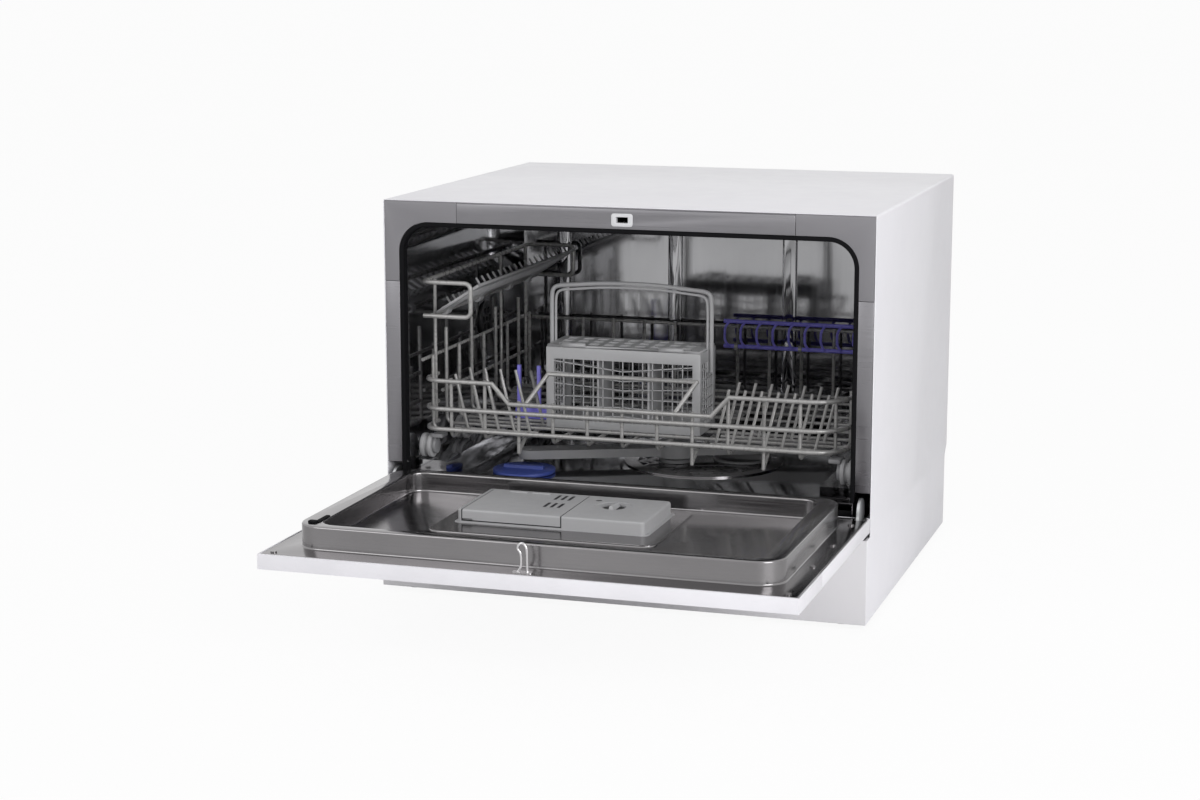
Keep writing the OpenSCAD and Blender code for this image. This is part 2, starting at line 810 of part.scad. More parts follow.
module door_liner() {
    reach = skin_half - gap;
    color("silver") difference() {
        union() {
            block([-reach, -door_reach + panel_wall + gap, flange_under],
                [reach, -door_heel - sheet - gap, flange_top]);
            translate([0, 0, flange_under]) linear_extrude(rim_rise + liner_sheet)
                rounded([-pan_half, -pan_far], [pan_half, -pan_near], pan_corner);
        }
        translate([0, 0, pan_floor]) linear_extrude(60)
            rounded([-pan_half + rim_side, -pan_far + rim_end], [pan_half - rim_side, -pan_near - rim_end],
                pan_corner - 10);
        difference() {
            translate([0, 0, flange_under - 1]) linear_extrude(1 + rim_rise)
                rounded([-pan_half + liner_sheet, -pan_far + liner_sheet],
                    [pan_half - liner_sheet, -pan_near - liner_sheet], pan_corner - liner_sheet);
            translate([0, 0, pan_floor - liner_sheet]) linear_extrude(60)
                rounded([-pan_half + rim_side - liner_sheet, -pan_far + rim_end - liner_sheet],
                    [pan_half - rim_side + liner_sheet, -pan_near - rim_end + liner_sheet],
                    pan_corner - 10 + liner_sheet);
        }
        hinge_slots();
    }
}

module control_panel() {
    color("white") difference() {
        union() {
            difference() {
                block([-half, -door_reach, door_under], [half, -panel_near, flange_top]);
                block([-half + panel_wall, -door_reach + panel_wall, door_under + panel_wall],
                    [half - panel_wall, -panel_near + 5, flange_top + 5]);
                block([-skin_half, -door_reach + panel_wall, flange_under - gap],
                    [skin_half, -panel_near + 5, flange_top + 5]);
            }
            for (x = [75 - half, -80, 80, half - 75])
                translate([x, -door_reach + 16, door_under + 1])
                    cylinder(h = board_under - door_under - 1.1, r = 4);
        }
        block([-62, -panel_near - 32, door_under - 1], [62, -panel_near - 6, door_under + 6]);
        block([window_x, button_y - 10, door_under - 1], [window_x + 60, button_y + 10, door_under + 6]);
        for (x = [-button_x, 60, button_x])
            translate([x, button_y, door_under - 1]) cylinder(h = 8, r = button_radius + gap);
    }
}

module grip_cup() {
    color("gray") difference() {
        block([-64, -panel_near - 34, door_under + panel_wall + 0.1],
            [64, -panel_near - 4, flange_under - 1.2]);
        block([-62, -panel_near - 32, door_under], [62, -panel_near - 6, flange_under - 2.8]);
    }
}

module display_window() {
    color("black") union() {
        block([window_x + gap, button_y - 10 + gap, door_under + 0.2],
            [window_x + 60 - gap, button_y + 10 - gap, door_under + 3]);
        block([window_x - 3, button_y - 12, door_under + panel_wall + 0.1],
            [window_x + 63, button_y + 12, door_under + 5]);
    }
}

module control_board() {
    color("darkgreen") union() {
        block([13 - button_x, -door_reach + 8, board_under],
            [button_x + 13, button_y + 14, board_under + 1.6]);
        block([-60, -door_reach + 12, board_under + 1.5], [-20, button_y + 4, board_under + 5]);
        block([-button_x - 13, button_y - 10, board_under],
            [14 - button_x, button_y + 10, board_under + 1.6]);
    }
}

// One push button on the door's front, at a distance from the middle
module push_button(x) {
    color("silver") union() {
        translate([x, button_y, door_under - 0.8]) cylinder(h = 5, r = button_radius);
        translate([x, button_y, door_under + panel_wall + 0.2]) cylinder(h = 2.4, r = button_radius + 2);
        translate([x, button_y, door_under + 4]) cylinder(h = board_under - door_under - 5.4, r = 3);
    }
}

module power_button() {
    push_button(-button_x);
}

module program_button() {
    push_button(60);
}

module start_button() {
    push_button(button_x);
}

module latch_hook() {
    hook_y = -(latch_height - 1 - hinge_height + hinge_front);
    color("silver") union() {
        wire([[-4.5, hook_y, flange_top + 0.9], [-4.5, hook_y, flange_top + 27],
            [4.5, hook_y, flange_top + 27], [4.5, hook_y, flange_top + 0.9]], 1.5, [4.4, 4.4]);
        block([-10, hook_y - 4, flange_top + 0.1], [10, hook_y + 4, flange_top + 1]);
    }
}

module hinge_arms() {
    tip_y = -hinge_front + 25;
    tip_z = hinge_height + 25;
    color("silver")
        for (side = [-1, 1])
            mirror([side > 0 ? 0 : 1, 0, 0]) difference() {
                union() {
                    block([arm_near, -62, hinge_height - hinge_ear],
                        [arm_far, -hinge_front, flange_under - 0.2]);
                    along_x(arm_near, -hinge_front, hinge_height, arm_far - arm_near, hinge_ear);
                    along_x(arm_near, tip_y - 12, tip_z - 12, arm_far - arm_near, 15);
                    sideways(arm_near, arm_far - arm_near) polygon([
                        [-hinge_front - 5, hinge_height + hinge_ear],
                        [-hinge_front + hinge_ear, hinge_height - 5], [tip_y - 2, tip_z - 22],
                        [tip_y - 22, tip_z - 2]]);
                }
                along_x(arm_near - 2, -hinge_front, hinge_height, 8, hinge_pin + 0.2);
                block([arm_near - 1, -80, hinge_height - 20],
                    [arm_far + 1, -hinge_front + 1, hinge_height - hinge_ear]);
            }
}

module door_screws() {
    color("silver")
        for (side = [-1, 1])
            for (y = [-40, -130, -220, 11 - door_reach])
                translate([side * arm_near, y, flange_top + 0.1]) cylinder(h = 1.4, r = 3.2);
}

module liner_clip() {
    color("black") union() {
        block([-pan_half + 4, -pan_far + 14, rim_top + 0.1],
            [-pan_half + rim_side - 4, -pan_far + 29, rim_top + 4]);
        block([-pan_half + rim_side - 5, -pan_far + 20, rim_top + 0.1],
            [-pan_half + rim_side - 1, -pan_far + 60, rim_top + 1.2]);
    }
}

module dispenser_body() {
    right = dispenser_left + dispenser_width;
    low = pan_floor + 0.1;
    color("darkgray") difference() {
        union() {
            translate([0, 0, low]) linear_extrude(dispenser_rise - 0.1)
                rounded([dispenser_left, -dispenser_far], [right, -dispenser_near], 4);
            translate([0, 0, low]) linear_extrude(2)
                rounded([dispenser_left - 4, -dispenser_far - 4], [right + 4, -dispenser_near + 4], 6);
        }
        block([lid_left - gap, -dispenser_far - 1, lid_floor - gap],
            [lid_left + lid_width + gap, -dispenser_near - 5, dispenser_top + 1]);
        block([lid_left + 8, -dispenser_far + 10, low + 2],
            [lid_left + 62, -dispenser_near - 14, dispenser_top + 1]);
        translate([knob_x, knob_y, dispenser_top - 5]) cylinder(h = 10, r = knob_radius + 1);
        translate([lid_left + lid_width + 16, -dispenser_near - 20, dispenser_top - 2])
            cylinder(h = 5, r = 4);
    }
}

module dispenser_lid() {
    far = -dispenser_far - 0.4;
    color("silver") difference() {
        union() {
            block([lid_left, far, lid_floor], [lid_left + lid_width, -dispenser_near - 6, dispenser_top]);
            block([lid_left, far - 2, lid_floor - lid_skirt], [lid_left + lid_width, far, dispenser_top]);
        }
        for (row = [0, 1])
            for (i = [0 : 2])
                translate([lid_left + lid_width - 34 + i * 9 - row * 7, 44 - dispenser_far - row * 26,
                    lid_floor - 1]) rotate([0, 0, -20]) cube([3, 20, 8]);
    }
}

module rinse_knob() {
    low = dispenser_top - 5 + gap;
    color("gray") union() {
        translate([knob_x, knob_y, low]) cylinder(h = 2.5, r = knob_radius);
        block([knob_x - knob_radius + 2, knob_y - 3, low + 2],
            [knob_x + knob_radius - 2, knob_y + 3, low + 6.5]);
    }
}

// A front rail that comes round the left corner, crosses the front and runs back on the right
module front_rail(height, left_back, right_back) {
    wire([[-rack_left, left_back, height], [-rack_left, rack_front, height], [rack_right, rack_front, height],
        [rack_right, right_back, height]], rail_radius, [20, 42]);
}

module rack_rails() {
    low = rail_top - rail_dip;
    color("lightgray") {
        wire([[-rack_left, rack_front + 46, rail_top], [-rack_left, rack_front, rail_top],
            [dip_left, rack_front, rail_top], [dip_left + 20, rack_front, low],
            [dip_right - 20, rack_front, low], [dip_right, rack_front, rail_top],
            [rack_right, rack_front, rail_top],
            [rack_right, rack_back, rail_top]], rail_radius, [20, 0, 0, 0, 0, 42]);
        front_rail(rail_middle, rack_front + 46, rack_back);
        front_rail(rail_bottom, rack_front + 46, axle_middle);
        wire([[basket_left - 5, post_front - 0.2, low], [basket_left + 11, tines_near, low + 30],
            [basket_right + 3, tines_near, low + 30], [basket_right - 13, post_front - 0.2, low]],
            rail_radius, [0, 0]);
        rod([-rack_left, post_front - 4, rail_left], [-rack_left, rack_back, rail_left], wire_radius);
        rod([-rack_left, rack_front + 60, rail_top - 22], [-rack_left, rack_back, rail_top - 22],
            wire_radius);
        rod([-rack_left + 4, rack_back, rail_rear], [rack_right - 6, rack_back, rail_rear], wire_radius);
    }
}

// The lengthwise floor wires that end in a low foot before the front rails
function footed(i) = i == 2 || i == 7 || i == 9;
function floor_wire_x(i) = 32 - rack_left + i * long_pitch;

module rack_floor() {
    dipped = rail_top - rail_dip + 3;
    color("lightgray") {
        for (i = [0 : 10]) {
            x = floor_wire_x(i);
            top = x > dip_left && x < dip_right - 12 ? dipped : rail_top + 3;
            if (footed(i))
                wire([[x, post_front, top], [x, post_front, floor_height - 13],
                    [x, post_front + 22, floor_height], [x, post_back, floor_height],
                    [x, post_back, rail_rear + 3]], wire_radius, [0, 0, 8]);
            else
                wire([[x, post_front, top], [x, post_front, floor_height], [x, post_back, floor_height],
                    [x, post_back, rail_rear + 3]], wire_radius, [8, 8]);
        }
        for (i = [0 : cross_wires]) {
            y = rack_front + 20 + i * cross_pitch;
            right = i == 0 ? post_right - 8 : post_right;
            wire([[-post_left, y, i % 2 == 0 ? rail_left + 3 : rail_left + 28], [-post_left, y, cross_height],
                [right, y, cross_height], [right, y, rail_top + 3]], wire_radius, [8, 8]);
        }
        for (i = [6, 8, 10])
            if (floor_wire_x(i) - 5 > comb_left)
                difference() {
                    along_x(floor_wire_x(i) - wire_radius, comb_y, comb_low, 2 * wire_radius,
                        post_back - comb_y - wire_radius + 0.2);
                    along_x(floor_wire_x(i) - 5, comb_y, comb_low, 10, rail_radius + 0.1);
                }
    }
}

module rack_side_frame() {
    left = -rack_left;
    high = shelf_low + frame_rise;
    post_x = 0.4 - post_left;
    color("lightgray") {
        wire([[left + 2, rack_front, shelf_low], [left + frame_reach, rack_front, shelf_low],
            [left + frame_reach, rack_front, high], [left, rack_front, high], [left, rack_back, high],
            [left + frame_reach, rack_back, high], [left + frame_reach, rack_back, shelf_low],
            [left + 2, rack_back, shelf_low]], rail_radius, [7, 7, 12, 12, 7, 7]);
        rod([shelf_hinge_x, rack_front + rail_radius, shelf_low],
            [shelf_hinge_x, rack_back - rail_radius, shelf_low], rail_radius);
        for (i = [0, shelf_slots - 6, shelf_slots - 1]) {
            y = shelf_near + (i + 1) * spike_pitch;
            rod([post_x, y, cross_height + 8], [post_x, y, high], wire_radius);
        }
    }
}

module rack_tines() {
    foot = floor_height + wire_radius + tine_radius + 0.1;
    color("lightgray")
        for (y = [tines_near, tines_near + 46]) {
            for (i = [0 : right_tines]) {
                x = tines_right - i * tine_pitch;
                rod([x, y, foot], [x + tine_lean, y, foot + tine_length - 4], tine_radius);
            }
            for (i = [0 : left_tines]) {
                x = tines_left + i * tine_pitch;
                rod([x, y, foot], [x - tine_lean, y, foot + tine_length - 4], tine_radius);
            }
            rod([tines_right - right_tines * tine_pitch - 6, y, foot], [rack_right - 20, y, foot],
                tine_radius);
            rod([tines_left - 16, y, foot], [basket_left - 1, y, foot], tine_radius);
        }
}

// The two wheels that share an axle line
module wheel_pair(y) {
    color("darkgray")
        for (side = [-1, 1])
            difference() {
                union() {
                    along_x(side * wheel_centre - wheel_width / 2, y, axle_height, 4.5, wheel_radius);
                    along_x(side * wheel_centre - wheel_width / 2 + 4, y, axle_height, wheel_width - 8,
                        wheel_radius - 3);
                    along_x(side * wheel_centre + wheel_width / 2 - 4.5, y, axle_height, 4.5, wheel_radius);
                }
                along_x(side * wheel_centre - wheel_width / 2 - 1, y, axle_height, wheel_width + 2, 3 + gap);
            }
}

module front_wheels() {
    wheel_pair(axle_front);
}

module middle_wheels() {
    wheel_pair(axle_middle);
}

module rear_wheels() {
    wheel_pair(axle_rear);
}

module wheel_brackets() {
    inner = wheel_centre - wheel_width / 2 - gap;
    color("gray")
        for (y = [axle_front, axle_middle, axle_rear])
            for (side = [-1, 1])
                mirror([side > 0 ? 0 : 1, 0, 0]) union() {
                    along_x(inner - 4, y, axle_height, 4 + gap + wheel_width + 1, 3);
                    along_x(inner - 4, y, axle_height, 4, 9);
                    block([inner - 4, y - 5, axle_height], [inner, y + 5, cross_height - wire_radius - 0.1]);
                    block([post_right - 12, y - 9, cross_height - 6.3],
                        [inner, y + 9, cross_height - wire_radius - 0.1]);
                }
}

module cup_shelf() {
    span = shelf_far - shelf_near;
    ring = rail_radius + 2.5;
    color("darkgray")
        translate([shelf_hinge_x, 0, shelf_low]) rotate([0, -shelf_tilt, 0]) difference() {
            union() {
                block([ring - 1, shelf_near, -shelf_thick / 2], [shelf_width, shelf_far, shelf_thick / 2]);
                for (y = [0.1, 0.4, 0.7, 0.9])
                    along_y(0, shelf_near + y * span, 0, 10, ring);
                for (row = [14, shelf_width - 8])
                    for (i = [0 : shelf_slots - 1])
                        translate([row, shelf_near + (i + 1.5) * spike_pitch, 0]) cylinder(h = 11, r = 1.2);
            }
            along_y(0, shelf_near - 1, 0, span + 2, rail_radius + 0.1);
            for (i = [0 : shelf_slots - 1])
                block([20, shelf_near + (i + 0.7) * spike_pitch, -9],
                    [shelf_width - 12, shelf_near + (i + 1.3) * spike_pitch, 9]);
        }
}

module comb_support() {
    high = comb_low + comb_rise;
    color("slateblue") {
        rod([comb_left, comb_y, comb_low], [comb_left + comb_length, comb_y, comb_low], rail_radius);
        rod([comb_left, comb_y, high], [comb_left + comb_length, comb_y, high], rail_radius);
        for (i = [0 : comb_posts])
            translate([comb_left + 6 + i * comb_pitch, comb_y, comb_low + rail_radius - 0.4])
                cylinder(h = comb_rise - 2 * rail_radius + 0.8, r = 1.6, $fn = wire_fn);
    }
}

module tine_clip() {
    right = basket_left - basket_room;
    y = rack_front + 100;
    foot = cross_height + wire_radius + 0.3;
    color("slateblue") union() {
        block([right - 46, y, foot], [right, y + 6, foot + 12]);
        for (x = [right - 44, right - 20])
            block([x, y + 1, foot + 8], [x + 4, y + 5, foot + tine_length - 4]);
    }
}

// Slots of a lattice wall, cut straight through along Y
module lattice(columns, rows, width, near, depth) {
    column = width / columns;
    row = (basket_height - 22) / rows;
    for (i = [0 : columns - 1])
        for (j = [0 : rows - 1])
            block([i * column + 0.8, near, j * row + 1.2],
                [(i + 1) * column - 0.8, near + depth, (j + 1) * row - 1.2]);
}

module cutlery_basket() {
    color("darkgray") difference() {
        block([basket_left, basket_front, basket_floor],
            [basket_left + basket_width, basket_front + basket_depth, basket_top]);
        for (i = [0 : 2]) {
            cell = (basket_width - 4 * basket_wall) / 3;
            x = basket_left + basket_wall + i * (cell + basket_wall);
            block([x, basket_front + basket_wall, basket_floor + basket_wall],
                [x + cell, basket_front + basket_depth - basket_wall, basket_top + 1]);
        }
        translate([basket_left + 9, 0, basket_floor + 9])
            lattice(18, 6, basket_width - 18, basket_front - 1, basket_depth + 2);
        translate([basket_left - 1, basket_front + 8, basket_floor + 9]) rotate([0, 0, 90]) mirror([0, 1, 0])
            lattice(6, 6, basket_depth - 16, 0, basket_wall + 2);
        translate([basket_left + basket_width - basket_wall - 1, basket_front + 8, basket_floor + 9])
            rotate([0, 0, 90]) mirror([0, 1, 0]) lattice(6, 6, basket_depth - 16, 0, basket_wall + 2);
    }
}

module basket_lid() {
    low = basket_top + gap;
    color("darkgray") difference() {
        union() {
            block([basket_left + 1, basket_front + 1, low],
                [basket_left + basket_width - 1, basket_front + basket_depth - 1, low + 2.4]);
            for (x = [basket_left + 18, basket_left + basket_width - 48])
                along_x(x, basket_front + 1, low + 2.6, 28, 2.6);
        }
        for (i = [0 : 8])
            for (j = [0 : 2])
                block([basket_left + 10 + i * 18, basket_front + 8 + j * 18, low - 1],
                    [basket_left + 22 + i * 18, basket_front + 20 + j * 18, low + 5]);
    }
}

module basket_handle() {
    left = basket_left - handle_radius - gap;
    right = basket_left + basket_width + handle_radius + gap;
    foot = basket_top - 24;
    color("darkgray") union() {
        wire([[left, handle_y, foot], [left, handle_y, basket_top + handle_rise],
            [right, handle_y, basket_top + handle_rise], [right, handle_y, foot]], handle_radius, [14, 14]);
        for (x = [left, right])
            translate([x, handle_y, foot - 1]) cylinder(h = 10, r = handle_radius + 0.2);
    }
}

placed() outer_cover();
placed() rear_panel();
placed() base_tray();
placed() kick_panel();
placed() rubber_feet();
placed() frame_corners();
placed() frame_top_strip();
placed() frame_side_strips();
placed() tub_wrapper();
placed() tub_back();
placed() tub_base();
placed() door_gasket();
placed() sill_seal();
placed() latch_socket();
placed() latch_switch();
placed() hinge_brackets();
placed() vent_grille();
placed() air_break();
placed() sump();
placed() filter_plate();
placed() filter_cup();
placed() spray_arm_hub();
placed() spray_arm();
placed() wash_pump();
placed() drain_pump();
placed() inlet_valve();
placed() drain_spigot();
placed() mains_gland();
placed() softener_tank();
placed() salt_cap();
placed() door_skin();
placed() door_liner();
placed() control_panel();
placed() grip_cup();
placed() display_window();
placed() control_board();
placed() power_button();
placed() program_button();
placed() start_button();
placed() latch_hook();
placed() hinge_arms();
placed() door_screws();
placed() liner_clip();
placed() dispenser_body();
placed() dispenser_lid();
placed() rinse_knob();
placed() rack_rails();
placed() rack_floor();
placed() rack_side_frame();
placed() rack_tines();
placed() wheel_brackets();
placed() front_wheels();
placed() middle_wheels();
placed() rear_wheels();
placed() cup_shelf();
placed() comb_support();
placed() tine_clip();
placed() cutlery_basket();
placed() basket_lid();
placed() basket_handle();
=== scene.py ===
import json
import math

import bpy
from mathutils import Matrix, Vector


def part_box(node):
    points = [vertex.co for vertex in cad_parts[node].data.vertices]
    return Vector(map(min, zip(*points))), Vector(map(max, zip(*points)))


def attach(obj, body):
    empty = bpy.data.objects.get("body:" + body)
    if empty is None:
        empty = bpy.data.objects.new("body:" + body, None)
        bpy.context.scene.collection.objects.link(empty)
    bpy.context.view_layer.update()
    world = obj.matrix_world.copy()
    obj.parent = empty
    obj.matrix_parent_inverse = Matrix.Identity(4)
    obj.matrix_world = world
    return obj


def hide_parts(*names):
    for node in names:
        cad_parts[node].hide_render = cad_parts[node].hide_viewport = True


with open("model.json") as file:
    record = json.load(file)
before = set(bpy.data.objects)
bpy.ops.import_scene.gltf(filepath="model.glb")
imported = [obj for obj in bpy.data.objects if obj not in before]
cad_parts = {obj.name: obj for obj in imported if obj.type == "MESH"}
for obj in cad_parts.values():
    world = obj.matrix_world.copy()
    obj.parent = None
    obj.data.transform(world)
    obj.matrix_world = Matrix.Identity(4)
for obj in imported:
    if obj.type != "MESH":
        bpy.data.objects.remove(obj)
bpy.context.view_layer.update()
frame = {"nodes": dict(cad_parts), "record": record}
print("frame loaded")

frontFace = -0.072  # where the front frame's face stands, in metres


def at(x, y, z):  # millimetres to the right of the middle, behind the frame's face and above the worktop
    return Vector((x * 0.001, y * 0.001 + frontFace, z * 0.001))


def measured(corner):  # the way back: a corner in metres, as the millimetres that at() takes
    return corner[0] * 1000, (corner[1] - frontFace) * 1000, corner[2] * 1000


# a long lens from the right, looking a little down
cameraPlan = {"place": (746, -2424, 710), "turn": 17.64, "tilt": -10.74, "focal": 2389, "imageWidth": 1200,
              "sensor": 36, "clipEnd": 50}
cameraData = bpy.data.cameras.new("camera")
cameraData.sensor_width = cameraPlan["sensor"]
cameraData.lens = cameraPlan["focal"] / cameraPlan["imageWidth"] * cameraPlan["sensor"]
cameraData.clip_end = cameraPlan["clipEnd"]
camera = bpy.data.objects.new("camera", cameraData)
camera.location = at(*cameraPlan["place"])
camera.rotation_euler = (math.radians(90 + cameraPlan["tilt"]), 0, math.radians(cameraPlan["turn"]))
bpy.context.scene.collection.objects.link(camera)
bpy.context.scene.camera = camera

past = 5  # millimetres that a tool reaches past the faces it cuts or joins
margin = 0.1  # millimetres that a test by place leaves at either side
hair = 0.02  # millimetres that tell a place beyond a face from one in it
nearEnough = 0.00005  # metres within which two places count as one
mergeDistance = 0.000005  # metres
flatAngle = 0.6  # degrees
smoothAngle = 38  # degrees


# selecting and editing
def pickOnly(piece):
    if bpy.context.object and bpy.context.object.mode != "OBJECT":
        bpy.ops.object.mode_set(mode="OBJECT")
    bpy.ops.object.select_all(action="DESELECT")
    piece.select_set(True)
    bpy.context.view_layer.objects.active = piece


def editMode(kind):
    bpy.ops.object.mode_set(mode="EDIT")
    bpy.ops.mesh.select_mode(type=kind)


def objectMode():
    bpy.ops.object.mode_set(mode="OBJECT")


def dropSelection(piece, kind):
    pickOnly(piece)
    editMode(kind)
    bpy.ops.mesh.select_all(action="DESELECT")
    objectMode()


def editAll(piece):  # leaves edit mode on, with everything selected
    pickOnly(piece)
    editMode("VERT")
    bpy.ops.mesh.select_all(action="SELECT")


def selectFaces(piece, test):  # leaves edit mode on, with the faces whose centre and normal pass
    dropSelection(piece, "FACE")
    for polygon in piece.data.polygons:
        polygon.select = bool(test(polygon.center, polygon.normal))
    editMode("FACE")


def selectEdges(piece, test):  # leaves edit mode on, with the edges whose two ends pass
    dropSelection(piece, "EDGE")
    for edge in piece.data.edges:
        a, b = (piece.data.vertices[i].co for i in edge.vertices)
        edge.select = bool(test(a, b))
    editMode("EDGE")


def edgesAt(axis, place):  # a test for the edges whose two ends lie at one place along an axis
    return lambda a, b: abs(a[axis] - place) < nearEnough and abs(b[axis] - place) < nearEnough


def bevelSelected(width, segments):
    bpy.ops.mesh.bevel(offset=width / 1000, segments=segments, affect="EDGES", clamp_overlap=True)
    objectMode()


def easeEdges(piece, width, segments, test, sharpness=40):  # rounds the sharp edges whose two ends pass
    dropSelection(piece, "EDGE")
    editMode("EDGE")
    bpy.ops.mesh.edges_select_sharp(sharpness=math.radians(sharpness))
    objectMode()
    wanted = []
    for edge in piece.data.edges:
        a, b = (piece.data.vertices[i].co for i in edge.vertices)
        wanted.append(edge.select and bool(test(a, b)))
    dropSelection(piece, "EDGE")
    for edge, chosen in zip(piece.data.edges, wanted):
        edge.select = chosen
    editMode("EDGE")
    bevelSelected(width, segments)


def dropFaces(piece, test):
    selectFaces(piece, test)
    bpy.ops.mesh.delete(type="FACE")
    objectMode()


def tidyFaces(piece, dissolve=True):  # merges doubles and dissolves the edges inside flat faces
    editAll(piece)
    bpy.ops.mesh.remove_doubles(threshold=mergeDistance)
    if dissolve:
        bpy.ops.mesh.dissolve_limited(angle_limit=math.radians(flatAngle))
    objectMode()


def useModifier(piece, kind, **settings):
    pickOnly(piece)
    modifier = piece.modifiers.new(kind.lower(), kind)
    for key, value in settings.items():
        setattr(modifier, key, value)
    bpy.ops.object.modifier_apply(modifier=modifier.name)


def seat(piece):  # puts the piece's place into its mesh
    pickOnly(piece)
    bpy.ops.object.transform_apply(location=True, rotation=True, scale=True)


def block(name, low, high):
    bpy.ops.object.select_all(action="DESELECT")
    bpy.ops.mesh.primitive_cube_add(size=1, location=(at(*low) + at(*high)) / 2)
    piece = bpy.context.object
    piece.name = name
    piece.scale = at(*high) - at(*low)
    seat(piece)
    return piece


def roundedBlock(name, low, high, corner, axis=2, segments=8):  # the edges along one axis are rounded
    piece = block(name, low, high)
    selectEdges(piece, lambda a, b: abs((a - b).normalized()[axis]) > 0.99)
    bevelSelected(corner, segments)
    return piece


def disc(name, x, y, z, length, radius, alongX=False, sides=96):
    bpy.ops.object.select_all(action="DESELECT")
    turn = (0, math.radians(90), 0) if alongX else (0, 0, 0)
    bpy.ops.mesh.primitive_cylinder_add(vertices=sides, radius=radius / 1000, depth=length / 1000,
                                        location=at(x, y, z), rotation=turn)
    piece = bpy.context.object
    piece.name = name
    seat(piece)
    return piece


def combine(piece, tool, operation):
    useModifier(piece, "BOOLEAN", operation=operation, object=tool, solver="EXACT")
    bpy.data.objects.remove(tool, do_unlink=True)


def cut(piece, tool):
    combine(piece, tool, "DIFFERENCE")


def fuse(piece, tool):
    combine(piece, tool, "UNION")


def sink(piece, x, y, top, depth, radius, sides=96):  # a round seat in a level face
    cut(piece, disc("sunk_seat", x, y, top, 2 * depth, radius, sides=sides))


def smooth(piece, degrees=smoothAngle):
    pickOnly(piece)
    bpy.ops.object.shade_smooth_by_angle(angle=math.radians(degrees))


def joinInto(piece, *others):
    pickOnly(piece)
    for other in others:
        other.select_set(True)
    bpy.ops.object.join()


def dress(piece, body, slot, *nodes, finish=None):
    piece.data.materials.clear()
    piece.data.materials.append(finishes[finish or slot])
    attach(piece, body)
    if nodes:
        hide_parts(*nodes)


# materials
noiseLow, noiseHigh = 0.3, 0.7  # most of a noise texture's values lie between these


def newMaterial(name):
    material = bpy.data.materials.new(name)
    material.use_nodes = True
    tree = material.node_tree
    tree.nodes.clear()
    output = tree.nodes.new("ShaderNodeOutputMaterial")
    shader = tree.nodes.new("ShaderNodeBsdfPrincipled")
    tree.links.new(shader.outputs["BSDF"], output.inputs["Surface"])
    return material, tree, shader


def noise(tree, scale, detail=4, stretch=(1, 1, 1)):
    coordinates = tree.nodes.new("ShaderNodeTexCoord")
    mapping = tree.nodes.new("ShaderNodeMapping")
    mapping.inputs["Scale"].default_value = stretch
    texture = tree.nodes.new("ShaderNodeTexNoise")
    texture.inputs["Scale"].default_value = scale
    texture.inputs["Detail"].default_value = detail
    tree.links.new(coordinates.outputs["Object"], mapping.inputs["Vector"])
    tree.links.new(mapping.outputs["Vector"], texture.inputs["Vector"])
    return texture.outputs["Fac"]


def spread(tree, value, low, high):
    node = tree.nodes.new("ShaderNodeMapRange")
    node.inputs["From Min"].default_value = noiseLow
    node.inputs["From Max"].default_value = noiseHigh
    node.inputs["To Min"].default_value = low
    node.inputs["To Max"].default_value = high
    tree.links.new(value, node.inputs["Value"])
    return node.outputs["Result"]


def tint(tree, value, dark, light):
    ramp = tree.nodes.new("ShaderNodeValToRGB")
    ends = ramp.color_ramp.elements
    ends[0].position, ends[0].color = noiseLow, (*dark, 1)
    ends[1].position, ends[1].color = noiseHigh, (*light, 1)
    tree.links.new(value, ramp.inputs["Fac"])
    return ramp.outputs["Color"]


def bump(tree, shader, layers):  # each layer is a height, a strength and a depth in metres
    last = None
    for height, strength, depth in layers:
        node = tree.nodes.new("ShaderNodeBump")
        node.inputs["Strength"].default_value = strength
        node.inputs["Distance"].default_value = depth
        tree.links.new(height, node.inputs["Height"])
        if last:
            tree.links.new(last, node.inputs["Normal"])
        last = node.outputs["Normal"]
    tree.links.new(last, shader.inputs["Normal"])


def shade(colour, factor):
    return tuple(min(1, c * factor) for c in colour)


def paintFinish(name, colour, rough=0.34, coat=0.25):  # stove enamel, with a faint orange peel
    material, tree, shader = newMaterial(name)
    cloud = noise(tree, scale=5, detail=3)
    wear = noise(tree, scale=45, detail=5)
    peel = noise(tree, scale=350, detail=2)
    tree.links.new(tint(tree, cloud, shade(colour, 0.965), shade(colour, 1.015)), shader.inputs["Base Color"])
    tree.links.new(spread(tree, wear, rough - 0.05, rough + 0.07), shader.inputs["Roughness"])
    shader.inputs["Coat Weight"].default_value = coat
    shader.inputs["Coat Roughness"].default_value = 0.18
    bump(tree, shader, [(peel, 0.06, 0.00006)])
    return material


def steelFinish(name, colour, rough, grain=(1, 60, 60), wave=0.0, anisotropy=0.5, stain=0.05):
    material, tree, shader = newMaterial(name)
    brushed = noise(tree, scale=14, detail=6, stretch=grain)
    cloud = noise(tree, scale=9, detail=4)
    tree.links.new(tint(tree, cloud, shade(colour, 1 - stain * 2), shade(colour, 1 + stain)),
                   shader.inputs["Base Color"])
    tree.links.new(spread(tree, brushed, rough * 0.75, rough * 1.35), shader.inputs["Roughness"])
    shader.inputs["Metallic"].default_value = 1
    shader.inputs["Anisotropic"].default_value = anisotropy
    layers = [(brushed, 0.1, 0.00005)]
    if wave:  # the slow buckles of thin pressed sheet
        layers.append((noise(tree, scale=7, detail=2), 0.5, wave))
    bump(tree, shader, layers)
    return material


